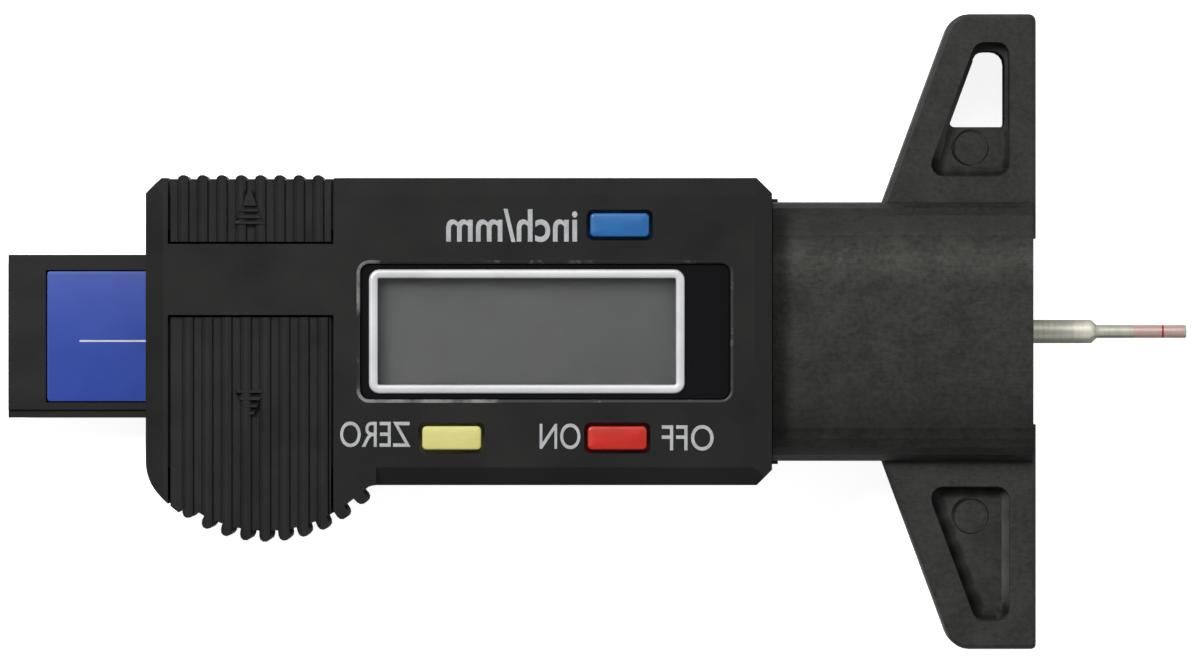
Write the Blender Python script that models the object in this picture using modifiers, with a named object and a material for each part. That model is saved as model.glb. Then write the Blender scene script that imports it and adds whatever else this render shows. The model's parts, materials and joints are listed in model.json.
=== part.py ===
"""Digital tread depth gauge: a foot with two wings, a display case, and a slide that carries the probe.

Metres, +Z out of the display, +X towards the probe's tip, +Y up the display. The sizes below are laid out
from a datum: x = 0 on the foot's measuring face, y = 0 on the probe's axis, z = 0 on the flat back.
The datum empty then centres the whole gauge on the world's origin.
"""

import math

import bmesh
import bpy
from mathutils import Matrix, Vector

# Clearances
FIT = 0.0001               # between seated faces
SEAM = 0.0002              # seen round the covers and the window
KEY_GAP = 0.0003           # seen round each button
BITE = 0.0005              # how far joined shapes reach into each other
THROUGH = 0.002            # how far a cutter runs past the face it opens
WELD = 0.000001            # corners closer than this are one corner

# Measuring travel
MEASURING_RANGE = 0.0254   # from the probe flush with the foot to fully out
PROBE_OUT = 0.0130         # how far the probe stands out at rest
TAIL_OUT = 0.0120          # how far the slide's tail stands out at rest

# Foot: two wings, a neck and a tongue inside the case
FOOT_SPAN = 0.0540
FOOT_DEPTH = 0.0088
WING_ROOT = 0.0130         # wing length where it leaves the neck
WING_TIP = 0.0071          # wing length at its outer end
WING_HEEL_RADIUS = 0.0020  # outer corner away from the measuring face
WING_TOE_RADIUS = 0.0006   # outer corner on the measuring face
WING_EDGE = 0.00035
WING_RIM = 0.0021          # left standing beside each pocket, on the measuring face and the outer end
WING_SLOPE_RIM = 0.0027    # left standing on the sloping side
POCKET_DEPTH = 0.0014
POCKET_SLOPE = 0.0005      # how far the pocket's walls lean in
POCKET_START = 0.0019      # from the neck to the pocket
POCKET_RADIUS = 0.0011
LANYARD_START = 0.0064     # from the neck to the lanyard hole
LANYARD_END_RIM = 0.0031
EJECTOR_START = 0.0046     # from the neck to the middle of the ejector's mark
EJECTOR_RADIUS = 0.0015
EJECTOR_DEPTH = 0.00015
NECK_LENGTH = 0.0224
NECK_INSET = 0.0020        # from the case's edge in to the neck's side
NECK_DEPTH = 0.0116
NECK_RADIUS = 0.0028
NECK_BACK_RADIUS = 0.0006
NECK_WALL = 0.0018
FACE_WALL = 0.0024         # wall that the probe comes out through
FACE_RELIEF = 0.0003       # the middle of the measuring face is set back this far
RELIEF_WIDTH = 0.0158
TONGUE_LENGTH = 0.0090

# Case
CASE_LENGTH = 0.0530
CASE_WIDTH = 0.0260
CASE_SPLIT = 0.0060        # the back case ends and the front case starts
CORNER_CUT = 0.0013
BEVEL_WIDTH = 0.0015
BEVEL_DROP = 0.0010
BACK_BEVEL = 0.0006
SIDE_WALL = 0.0015
FRONT_WALL = 0.0018
BACK_WALL = 0.0016

# Thumb bump and its ribs
BUMP_CUT = 0.0021          # how much of its circle the case's tail end cuts off
BUMP_RISE = 0.0075         # its centre, up from the case's bottom edge
BUMP_FILLET = 0.0015       # where the bump runs out into the bottom edge
BUMP_BLEND = 0.0040        # between the bump and the case's tail end
RIB_SHARE = 0.1325         # the ribs' pitch, as a share of the bump's radius
RIB_WIDTH = 0.00100
RIB_HEIGHT = 0.00085
BUMP_RIBS = 10
COVER_RIBS = 8
FACE_RIB_HEIGHT = 0.00045
RIB_STEPS = 5

# Battery cover and port cover
COVER_FROM_END = 0.0019
COVER_SIDES = 0.00096      # plain strips beside its ribs, both together
BATTERY_COVER_TOP = 0.0014  # above the probe's axis
PORT_COVER_LENGTH = 0.0056  # down from the case's top edge
COVER_WALL = 0.0016
BUMP_FIRST_RIB = 0.0017     # from the cover opening's tail side
PORT_FIRST_RIB = 0.0013
RAIL_WIDTH = 0.0008
RAIL_DEPTH = 0.0007
BATTERY_RAIL_LENGTH = 0.0125
PORT_RAIL_LENGTH = 0.0044

# Slide and probe
SLIDE_DEPTH = 0.0030
SLIDE_UPPER_MARGIN = 0.00115  # between the slide and the screw bosses above it
SLIDE_LOWER_MARGIN = 0.00035
SLIDE_EDGE_STEP = 0.0003
SLIDE_EDGE_WIDTH = 0.0007
LUG_HEIGHT = 0.0006
LUG_LENGTH = 0.0020
STOP_GAP = 0.0003
NOSE_LENGTH = 0.0072
LABEL_RIM = 0.0014          # from the slide's edge in to the label
LABEL_FROM_TAIL = 0.0033
LABEL_DEPTH = 0.00015
STRIP_DEPTH = 0.0007
LABEL_SUNK = 0.0002         # the label's face below the slide's face
PROBE_RADIUS = 0.0010
PROBE_TIP_RADIUS = 0.00056
PROBE_TIP_LENGTH = 0.0079
PROBE_CONE = 0.0006
PROBE_CHAMFER = 0.0001
PROBE_GRIP = 0.0058         # held inside the slide's nose
PROBE_BORE_GAP = 0.00012
GIB_LENGTH = 0.0180
GIB_THICKNESS = 0.0002
GIB_BOW = 0.00025
GIB_FROM_TONGUE = 0.0040
GUIDE_WALL = 0.0011
RUNNER_WIDTH = 0.0010
RUNNER_INSET = 0.00245      # from the slide's edge in to each runner

# Display
WINDOW_FROM_NECK = 0.0033
WINDOW_FROM_COVER = 0.0020
WINDOW_FROM_KEY = 0.0020
WINDOW_RADIUS = 0.0010
WINDOW_SUNK = 0.0006
WINDOW_DEPTH = 0.0006
WINDOW_LEDGE = 0.0007
FRAME_LEFT_GAP = 0.0010     # from the window's edge in to the frame
FRAME_RIGHT_GAP = 0.0041
FRAME_SIDE_GAP = 0.00075
FRAME_BAR = 0.00075
FRAME_HEIGHT = 0.0003
FRAME_RADIUS = 0.0009
GLASS_MARGIN = 0.0005       # the glass cell beyond the frame, all round
GLASS_DEPTH = 0.0020
HOLDER_WALL = 0.0007
STRIP_WIDTH = 0.0016

# Circuit board, bosses and screws
BOARD_DEPTH = 0.0010
BOARD_LIFT = 0.0005         # board's underside above the slide's face
BOARD_MARGIN = 0.0002
ARM_WIDTH = 0.0073
BOSS_RADIUS = 0.0020
BOSS_COLLAR = 0.0027
BOSS_COLLAR_HEIGHT = 0.0010
BOSS_FROM_WALL = 0.0018     # the screws' rows, from the case's inner wall
BOSS_FROM_NECK = 0.0047
BOSS_FROM_COVER = 0.0027
SCREW_RADIUS = 0.0009
SCREW_HEAD_RADIUS = 0.0017
SCREW_HEAD_DEPTH = 0.0009
SCREW_LENGTH = 0.0094
SCREW_SLOT = 0.0004
CHIP_GAP = 0.00035          # between the chip's cap and the display's holder
CHIP_HEIGHT = 0.0009

# Buttons
KEY_LENGTH = 0.0050
KEY_WIDTH = 0.0020
KEY_RADIUS = 0.00035
KEY_PROUD = 0.00035
KEY_FLANGE = 0.0005
KEY_FLANGE_DEPTH = 0.0008
KEY_STEM_RADIUS = 0.0009
KEY_FROM_EDGE = 0.0040      # the buttons' rows, from the case's edge
UNIT_KEY_SHARE = 0.724      # places between the screws near the covers and those near the neck
POWER_KEY_SHARE = 0.717
ZERO_KEY_SHARE = 0.246
DOME_RADIUS = 0.0018
DOME_HEIGHT = 0.0011

# Battery and its contacts
CELL_RADIUS = 0.0058
CELL_HEIGHT = 0.0054
CELL_BACK = 0.0013          # its centre, from the bump's centre towards the tail
CELL_DOWN = 0.0030          # and towards the bump's ribs
WELL_WALL = 0.0010
WELL_GAP = 0.0004
WELL_FLOOR = 0.0007
LEAF_THICKNESS = 0.00025
LEAF_WIDTH = 0.0030
LEAF_LENGTH = 0.0080
LEAF_SPANS = 8
CELL_COVER_GAP = 0.0002
CELL_SIDE_GAP = 0.00088     # between the cell and the bump's wall
EMPTY_SIZE = 0.005
SIDE_LEAF_THICKNESS = 0.0002
SIDE_LEAF_WIDTH = 0.0010
SIDE_LEAF_HEIGHT = 0.0036

# Data port
SOCKET_LENGTH = 0.0080
SOCKET_WIDTH = 0.0028
SOCKET_HEIGHT = 0.0040
SOCKET_SLOT_WIDTH = 0.0012
SOCKET_WALL = 0.0006
SOCKET_PINS = 4
PIN_WIDTH = 0.0007
PIN_THICKNESS = 0.0003
BAY_WALL = 0.0010

# Places that follow from the sizes
PROBE_Z = FOOT_DEPTH / 2
NECK_END = -NECK_LENGTH
CASE_RIGHT = NECK_END - FIT
CASE_LEFT = CASE_RIGHT - CASE_LENGTH
CASE_TOP = CASE_WIDTH / 2
NECK_WIDTH = CASE_WIDTH - 2 * NECK_INSET
INNER_TOP = CASE_TOP - SIDE_WALL
BOSS_ROW = INNER_TOP - BOSS_FROM_WALL
KEY_ROW = CASE_TOP - KEY_FROM_EDGE
INNER_LEFT = CASE_LEFT + SIDE_WALL
INNER_RIGHT = CASE_RIGHT - SIDE_WALL
BUMP_RADIUS = math.hypot(CELL_BACK, CELL_DOWN) + CELL_RADIUS + CELL_SIDE_GAP + SIDE_WALL + RIB_HEIGHT
BUMP_X = CASE_LEFT + BUMP_RADIUS - BUMP_CUT
BUMP_Y = BUMP_RISE - CASE_TOP
BUMP_VALLEY = BUMP_RADIUS - RIB_HEIGHT
BUMP_INSIDE = BUMP_VALLEY - SIDE_WALL
RIB_PITCH = BUMP_RADIUS * RIB_SHARE
COVER_WIDTH = RIB_PITCH * COVER_RIBS + COVER_SIDES
COVER_LEFT = CASE_LEFT + COVER_FROM_END
COVER_RIGHT = COVER_LEFT + COVER_WIDTH
PORT_COVER_LOW = CASE_TOP - PORT_COVER_LENGTH
FRONT_LOW = CASE_SPLIT + FIT

SLIDE_LOW = PROBE_Z - SLIDE_DEPTH / 2
SLIDE_HIGH = PROBE_Z + SLIDE_DEPTH / 2
WELL_LOW = SLIDE_HIGH + BOARD_LIFT
WELL_FLOOR_HIGH = WELL_LOW + WELL_FLOOR
WELL_RADIUS = CELL_RADIUS + WELL_GAP
CELL_LOW = WELL_FLOOR_HIGH + FIT + 2 * LEAF_THICKNESS + FIT
COVER_INSIDE = CELL_LOW + CELL_HEIGHT + CELL_COVER_GAP
CASE_DEPTH = COVER_INSIDE + COVER_WALL
FRONT_INSIDE = CASE_DEPTH - FRONT_WALL
SLIDE_TOP = BOSS_ROW - BOSS_RADIUS - SLIDE_UPPER_MARGIN
SLIDE_BOTTOM = SLIDE_LOWER_MARGIN + BOSS_RADIUS - BOSS_ROW
TRAVEL_OUT = MEASURING_RANGE - PROBE_OUT
TAIL_X = CASE_LEFT - TAIL_OUT
FACE_INSIDE = -FACE_RELIEF - FACE_WALL
NOSE_X = FACE_INSIDE - STOP_GAP - TRAVEL_OUT
LUG_STOP_X = NOSE_X - LUG_LENGTH - PROBE_OUT - FIT
TONGUE_END = CASE_RIGHT - TONGUE_LENGTH
LABEL_LEFT = TAIL_X + LABEL_FROM_TAIL
LABEL_RIGHT = NOSE_X - NOSE_LENGTH
LABEL_HIGH = SLIDE_HIGH - LABEL_SUNK
STRIP_HIGH = LABEL_HIGH - LABEL_DEPTH - FIT / 2
STRIP_LOW = STRIP_HIGH - STRIP_DEPTH

BOARD_LOW = SLIDE_HIGH + BOARD_LIFT
BOARD_HIGH = BOARD_LOW + BOARD_DEPTH
BOARD_SEAT = BOARD_HIGH + FIT
BOSS_NEAR = CASE_RIGHT - BOSS_FROM_NECK
BOSS_FAR = COVER_RIGHT + BOSS_FROM_COVER
BOSS_SPACING = BOSS_NEAR - BOSS_FAR
BOSSES = [(x, y) for x in (BOSS_NEAR, BOSS_FAR) for y in (BOSS_ROW, -BOSS_ROW)]

WINDOW_RIGHT = CASE_RIGHT - WINDOW_FROM_NECK
WINDOW_LEFT = COVER_RIGHT + WINDOW_FROM_COVER
WINDOW_HALF = KEY_ROW - KEY_WIDTH / 2 - WINDOW_FROM_KEY
WINDOW_HIGH = CASE_DEPTH - WINDOW_SUNK
WINDOW_LOW = WINDOW_HIGH - WINDOW_DEPTH
FRAME_LEFT = WINDOW_LEFT + FRAME_LEFT_GAP
FRAME_RIGHT = WINDOW_RIGHT - FRAME_RIGHT_GAP
FRAME_HALF = WINDOW_HALF - FRAME_SIDE_GAP
VIEW = (FRAME_LEFT + FRAME_BAR, FRAME_RIGHT - FRAME_BAR)
VIEW_HALF = FRAME_HALF - FRAME_BAR
GLASS = (FRAME_LEFT - GLASS_MARGIN, FRAME_RIGHT + GLASS_MARGIN)
GLASS_HALF = FRAME_HALF + GLASS_MARGIN
GLASS_HIGH = FRONT_INSIDE - FIT
GLASS_LOW = GLASS_HIGH - GLASS_DEPTH
STRIP_ROW = GLASS_HALF - STRIP_WIDTH / 2 - FIT
HOLDER_MIDDLE = STRIP_ROW - STRIP_WIDTH / 2 - HOLDER_WALL
CHIP_RADIUS = HOLDER_MIDDLE - CHIP_GAP

KEYS = {
    "unit": (BOSS_FAR + UNIT_KEY_SHARE * BOSS_SPACING, KEY_ROW),
    "power": (BOSS_FAR + POWER_KEY_SHARE * BOSS_SPACING, -KEY_ROW),
    "zero": (BOSS_FAR + ZERO_KEY_SHARE * BOSS_SPACING, -KEY_ROW),
}
DOME_HIGH = BOARD_SEAT + DOME_HEIGHT

CELL_X = BUMP_X - CELL_BACK
CELL_Y = BUMP_Y - CELL_DOWN
BOARD_LEFT = CELL_X + WELL_RADIUS + WELL_WALL + BOARD_MARGIN

PORT_MIDDLE = (COVER_LEFT + COVER_RIGHT) / 2
SOCKET_HIGH_Y = INNER_TOP - 2 * BOARD_MARGIN
SOCKET_LOW_Y = SOCKET_HIGH_Y - SOCKET_WIDTH


# Scene, materials and modifiers

def clear_scene():
    for obj in list(bpy.data.objects):
        bpy.data.objects.remove(obj, do_unlink=True)


def new_collection(name):
    group = bpy.data.collections.new(name)
    bpy.context.scene.collection.children.link(group)
    return group


def new_material(name, colour, roughness, metallic=0.0):
    made = bpy.data.materials.new(name)
    made.use_nodes = True
    shader = made.node_tree.nodes["Principled BSDF"]
    shader.inputs["Base Color"].default_value = (*colour, 1.0)
    shader.inputs["Roughness"].default_value = roughness
    shader.inputs["Metallic"].default_value = metallic
    return made


def link_mesh(name, shape):
    """An object for the bmesh, with its normals facing out."""
    bmesh.ops.recalc_face_normals(shape, faces=shape.faces)
    mesh = bpy.data.meshes.new(name)
    shape.to_mesh(mesh)
    shape.free()
    obj = bpy.data.objects.new(name, mesh)
    PARTS.objects.link(obj)
    return obj


def as_helper(obj):
    """Puts a cutter or a joined shape among the helpers, so that it isn't a piece of the gauge."""
    PARTS.objects.unlink(obj)
    HELPERS.objects.link(obj)
    obj.hide_render = True
    obj.display_type = "WIRE"
    obj.parent = DATUM
    return obj


def combine(target, helper, operation):
    modifier = target.modifiers.new(helper.name, "BOOLEAN")
    modifier.operation = operation
    modifier.solver = "EXACT"
    modifier.object = as_helper(helper)


def cut(target, *helpers):
    for helper in helpers:
        combine(target, helper, "DIFFERENCE")


def join(target, *helpers):
    for helper in helpers:
        combine(target, helper, "UNION")


def keep_inside(target, *helpers):
    for helper in helpers:
        combine(target, helper, "INTERSECT")


def round_edges(obj, width, segments=2, angle=40):
    modifier = obj.modifiers.new("round_edges", "BEVEL")
    modifier.width = width
    modifier.segments = segments
    modifier.limit_method = "ANGLE"
    modifier.angle_limit = math.radians(angle)
    modifier.use_clamp_overlap = True


def finish(obj, material, parent=None):
    """Gives a piece welded corners, its material, smooth round faces and its parent."""
    if any(modifier.type == "BOOLEAN" for modifier in obj.modifiers):
        weld = obj.modifiers.new("weld", "WELD")
        weld.merge_threshold = WELD
    obj.data.materials.append(material)
    obj.data.shade_smooth()
    obj.data.set_sharp_from_angle(angle=math.radians(28))
    obj.parent = parent or DATUM
    if parent:
        obj.matrix_parent_inverse = Matrix.Translation(-parent.location)
    return obj


# Shapes

def arc(centre, radius, start, end, steps):
    """Points on a circle, from start to end in degrees."""
    angles = [math.radians(start + (end - start) * i / steps) for i in range(steps + 1)]
    return [(centre[0] + radius * math.cos(a), centre[1] + radius * math.sin(a)) for a in angles]


def rounded(corners, steps=4):
    """The closed outline through (x, y, radius) corners, each corner rounded to its radius."""
    points = []
    for i, (x, y, radius) in enumerate(corners):
        corner = Vector((x, y))
        before = (Vector(corners[i - 1][:2]) - corner).normalized()
        after = (Vector(corners[(i + 1) % len(corners)][:2]) - corner).normalized()
        if radius <= 0:
            points.append((x, y))
            continue
        half = before.angle(after) / 2
        centre = corner + (before + after).normalized() * (radius / math.sin(half))
        first = corner + before * (radius / math.tan(half)) - centre
        last = corner + after * (radius / math.tan(half)) - centre
        turn = first.angle_signed(last)
        start = math.atan2(first.y, first.x)
        for k in range(steps + 1):
            a = start - turn * k / steps
            points.append((centre.x + radius * math.cos(a), centre.y + radius * math.sin(a)))
    return [(round(x, 7), round(y, 7)) for x, y in points]


def rectangle(x_range, y_range, radius=0.0, steps=4):
    (x0, x1), (y0, y1) = x_range, y_range
    return rounded([(x0, y0, radius), (x1, y0, radius), (x1, y1, radius), (x0, y1, radius)], steps)


FACING = {
    "Z": Matrix.Identity(4),
    "X": Matrix(((0, 0, 1, 0), (1, 0, 0, 0), (0, 1, 0, 0), (0, 0, 0, 1))),
    "Y": Matrix(((1, 0, 0, 0), (0, 0, -1, 0), (0, 1, 0, 0), (0, 0, 0, 1))),
}


def plate(name, outlines, low, high, axis="Z"):
    """A flat outline, with any holes after it, thickened from low to high along the axis.

    The outline lies in XY for axis Z, in YZ for axis X and in XZ for axis Y.
    """
    if axis == "Y":
        low, high = -high, -low
    curve = bpy.data.curves.new(name, "CURVE")
    curve.dimensions = "2D"
    curve.fill_mode = "BOTH"
    curve.extrude = (high - low) / 2
    for outline in outlines:
        spline = curve.splines.new("POLY")
        spline.points.add(len(outline) - 1)
        for point, (u, v) in zip(spline.points, outline):
            point.co = (u, v, 0, 1)
        spline.use_cyclic_u = True
    flat = bpy.data.objects.new(name + "_outline", curve)
    PARTS.objects.link(flat)
    bpy.context.view_layer.update()
    graph = bpy.context.evaluated_depsgraph_get()
    solid = bpy.data.meshes.new_from_object(flat.evaluated_get(graph))
    bpy.data.objects.remove(flat, do_unlink=True)
    bpy.data.curves.remove(curve)
    shape = bmesh.new()
    shape.from_mesh(solid)
    bpy.data.meshes.remove(solid)
    bmesh.ops.remove_doubles(shape, verts=shape.verts, dist=1e-7)
    bmesh.ops.dissolve_limit(shape, angle_limit=math.radians(0.5), verts=shape.verts, edges=shape.edges)
    middle = Matrix.Translation((0, 0, (low + high) / 2))
    bmesh.ops.transform(shape, matrix=FACING[axis] @ middle, verts=shape.verts)
    return link_mesh(name, shape)


def block(name, x_range, y_range, z_range):
    spans = (x_range, y_range, z_range)
    middle = Matrix.Translation([(low + high) / 2 for low, high in spans])
    size = Matrix.Diagonal([high - low for low, high in spans] + [1.0])
    shape = bmesh.new()
    bmesh.ops.create_cube(shape, size=1.0, matrix=middle @ size)
    return link_mesh(name, shape)


def rod(name, radius, start, end, sides=24):
    """A round bar from start to end."""
    start, end = Vector(start), Vector(end)
    turn = (end - start).to_track_quat("Z", "Y").to_matrix().to_4x4()
    shape = bmesh.new()
    bmesh.ops.create_cone(
        shape, cap_ends=True, segments=sides, radius1=radius, radius2=radius,
        depth=(end - start).length, matrix=Matrix.Translation((start + end) / 2) @ turn,
    )
    return link_mesh(name, shape)


def turned(name, profile, steps=24, location=(0, 0, 0), rotation=(0, 0, 0)):
    """A turned piece: (radius, height) points from the top, down the outer side, spun about its own Z."""
    mesh = bpy.data.meshes.new(name)
    edges = [(i, i + 1) for i in range(len(profile) - 1)]
    mesh.from_pydata([(radius, 0, height) for radius, height in profile], edges, [])
    obj = bpy.data.objects.new(name, mesh)
    PARTS.objects.link(obj)
    obj.location = location
    obj.rotation_euler = rotation
    screw = obj.modifiers.new("turn", "SCREW")
    screw.axis = "Z"
    screw.steps = steps
    screw.render_steps = steps
    screw.use_merge_vertices = True
    screw.merge_threshold = 1e-6
    return obj


# The case's plan outline, shared by both half cases and the battery cover

def bump_rib(x, steps=RIB_STEPS):
    """One rib on the thumb bump, seen along Z: a round tip that points away from the bump's centre."""
    radius = RIB_WIDTH / 2
    angle = -math.acos((x - BUMP_X) / (BUMP_RADIUS - radius))
    out = Vector((math.cos(angle), math.sin(angle)))
    along = Vector((-math.sin(angle), math.cos(angle)))
    centre = Vector((BUMP_X, BUMP_Y))
    tip = centre + out * (BUMP_RADIUS - radius)
    root = centre + out * (BUMP_VALLEY - FIT)
    points = [root - along * radius]
    for k in range(steps + 1):
        a = math.pi * k / steps
        points.append(tip - along * radius * math.cos(a) + out * radius * math.sin(a))
    points.append(root + along * radius)
    return [tuple(p) for p in points]


def bump_ribs():
    start = COVER_LEFT + BUMP_FIRST_RIB
    return [point for i in range(BUMP_RIBS) for point in bump_rib(start + i * RIB_PITCH)]


def circle_drop(radius, x):
    """How far the bump's circle lies below its centre at x."""
    return math.sqrt(radius ** 2 - (x - BUMP_X) ** 2)


def bump_fillet_x():
    """The centre of the hollow arc that joins the bump to the case's bottom edge."""
    reach = BUMP_VALLEY + BUMP_FILLET
    return BUMP_X + math.sqrt(reach ** 2 - (CASE_TOP + BUMP_FILLET + BUMP_Y) ** 2)


def case_outline():
    """Anticlockwise from the neck end of the bottom edge: cut corners, a rounded one, then the ribbed bump."""
    smooth_end = COVER_LEFT + BUMP_FIRST_RIB - RIB_PITCH / 2
    blend_x = CASE_LEFT + BUMP_BLEND
    blend_drop = circle_drop(BUMP_RADIUS - BUMP_BLEND, blend_x)
    start = math.degrees(math.atan2(-blend_drop, blend_x - BUMP_X))
    end = math.degrees(math.atan2(-circle_drop(BUMP_RADIUS, smooth_end), smooth_end - BUMP_X))
    fillet = (bump_fillet_x(), -CASE_TOP - BUMP_FILLET)
    fillet_start = math.degrees(math.atan2(BUMP_Y - fillet[1], BUMP_X - fillet[0]))
    return (
        arc(fillet, BUMP_FILLET, fillet_start, 90, 4)
        + [
            (CASE_RIGHT - CORNER_CUT, -CASE_TOP),
            (CASE_RIGHT, -CASE_TOP + CORNER_CUT),
            (CASE_RIGHT, CASE_TOP - CORNER_CUT),
            (CASE_RIGHT - CORNER_CUT, CASE_TOP),
            (CASE_LEFT + CORNER_CUT, CASE_TOP),
            (CASE_LEFT, CASE_TOP - CORNER_CUT),
        ]
        + arc((blend_x, BUMP_Y - blend_drop), BUMP_BLEND, -180, start, 6)
        + arc((BUMP_X, BUMP_Y), BUMP_RADIUS, start, end, 4)[1:]
        + bump_ribs()
    )


def cavity_outline():
    """The inside of both half cases: straight walls, and the bump's wall without its ribs."""
    right = BUMP_X + math.sqrt(BUMP_INSIDE ** 2 - (INNER_TOP + BUMP_Y) ** 2)
    left_drop = circle_drop(BUMP_INSIDE, INNER_LEFT)
    start = math.degrees(math.atan2(-left_drop, INNER_LEFT - BUMP_X))
    end = math.degrees(math.atan2(-INNER_TOP - BUMP_Y, right - BUMP_X))
    return [(INNER_RIGHT, -INNER_TOP), (INNER_RIGHT, INNER_TOP), (INNER_LEFT, INNER_TOP)] + arc(
        (BUMP_X, BUMP_Y), BUMP_INSIDE, start, end, 12
    )


def bevelled_length():
    """The case seen along Y: the front's two ends are bevelled, and the back's less so."""
    return [
        (CASE_LEFT + BACK_BEVEL, 0.0),
        (CASE_RIGHT - BACK_BEVEL, 0.0),
        (CASE_RIGHT, BACK_BEVEL),
        (CASE_RIGHT, CASE_DEPTH - BEVEL_DROP),
        (CASE_RIGHT - BEVEL_WIDTH, CASE_DEPTH),
        (CASE_LEFT + BEVEL_WIDTH, CASE_DEPTH),
        (CASE_LEFT, CASE_DEPTH - BEVEL_DROP),
        (CASE_LEFT, BACK_BEVEL),
    ]


def bevelled_width():
    """The case seen along X: the top edge is bevelled, and the bump's side is left open."""
    low = -CASE_WIDTH
    return [
        (low, 0.0),
        (CASE_TOP - BACK_BEVEL, 0.0),
        (CASE_TOP, BACK_BEVEL),
        (CASE_TOP, CASE_DEPTH - BEVEL_DROP),
        (CASE_TOP - BEVEL_WIDTH, CASE_DEPTH),
        (low, CASE_DEPTH),
    ]


def case_shell(name, low, high):
    """A solid slice of the case between two depths, bevelled as the whole case is."""
    shell = plate(name, [case_outline()], low, high)
    keep_inside(
        shell,
        plate(name + "_length", [bevelled_length()], -CASE_WIDTH, CASE_WIDTH, "Y"),
        plate(name + "_width", [bevelled_width()], CASE_LEFT - THROUGH, CASE_RIGHT + THROUGH, "X"),
    )
    return shell


# Foot

def wing_outline():
    """Both wings: square to the measuring face, and sloping back to the neck on the other side."""
    half = FOOT_SPAN / 2
    neck = NECK_WIDTH / 2
    slope = (WING_ROOT - WING_TIP) / (half - neck)
    inner = neck - NECK_WALL
    root = WING_ROOT + slope * NECK_WALL
    return rounded([
        (-root, -inner, 0), (-WING_TIP, -half, WING_HEEL_RADIUS), (0, -half, 0),
        (0, half, WING_TOE_RADIUS), (-WING_TIP, half, WING_HEEL_RADIUS), (-root, inner, 0),
    ], steps=5)


def wing_edge_x(y):
    """The wing's sloping edge at y."""
    neck, half = NECK_WIDTH / 2, FOOT_SPAN / 2
    return -WING_ROOT + (WING_ROOT - WING_TIP) * (abs(y) - neck) / (half - neck)


def pocket_corners(start, end, inset, radii):
    """A tapering pocket in the upper wing from y = start to end, inset from the rims beside it."""
    face_x = -WING_RIM - inset
    slope_rim = WING_SLOPE_RIM + inset
    places = [(wing_edge_x(start) + slope_rim, start), (face_x, start),
              (face_x, end), (wing_edge_x(end) + slope_rim, end)]
    return [(x, y, radius) for (x, y), radius in zip(places, radii)]


def mirrored(corners):
    return [(x, -y, radius) for x, y, radius in reversed(corners)]


def wing_pocket(name, side):
    """The cutter for one pocket, wider at its mouth than at its floor."""
    start = NECK_WIDTH / 2 + POCKET_START
    end = FOOT_SPAN / 2 - WING_RIM
    corners = pocket_corners(start, end, 0.0, [POCKET_RADIUS] * 4)
    if side < 0:
        corners = mirrored(corners)
    outline = rounded(corners)
    middle = Vector((sum(x for x, _ in outline), sum(y for _, y in outline))) / len(outline)
    floor = FOOT_DEPTH - POCKET_DEPTH
    cutter = plate(name, [outline], floor, FOOT_DEPTH + THROUGH)
    for vertex in cutter.data.vertices:
        if vertex.co.z < floor + FIT:
            inward = (middle - vertex.co.xy).normalized() * POCKET_SLOPE
            vertex.co.x += inward.x
            vertex.co.y += inward.y
    return cutter


def lanyard_hole():
    start = NECK_WIDTH / 2 + LANYARD_START
    end = FOOT_SPAN / 2 - LANYARD_END_RIM
    tight, wide = POCKET_RADIUS / 3, POCKET_RADIUS
    corners = pocket_corners(start, end, POCKET_SLOPE, [tight, tight, wide, wide])
    return plate("lanyard_hole", [rounded(corners)], -THROUGH, FOOT_DEPTH + THROUGH)


def ejector_mark(name, side):
    y = side * (NECK_WIDTH / 2 + EJECTOR_START)
    x = wing_edge_x(y) / 2
    floor = FOOT_DEPTH - POCKET_DEPTH
    return rod(name, EJECTOR_RADIUS, (x, y, floor - EJECTOR_DEPTH), (x, y, FOOT_DEPTH), 20)


def neck_section():
    half = NECK_WIDTH / 2
    return rounded([
        (-half, 0, NECK_BACK_RADIUS), (half, 0, NECK_BACK_RADIUS),
        (half, NECK_DEPTH, NECK_RADIUS), (-half, NECK_DEPTH, NECK_RADIUS),
    ], steps=5)


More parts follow.
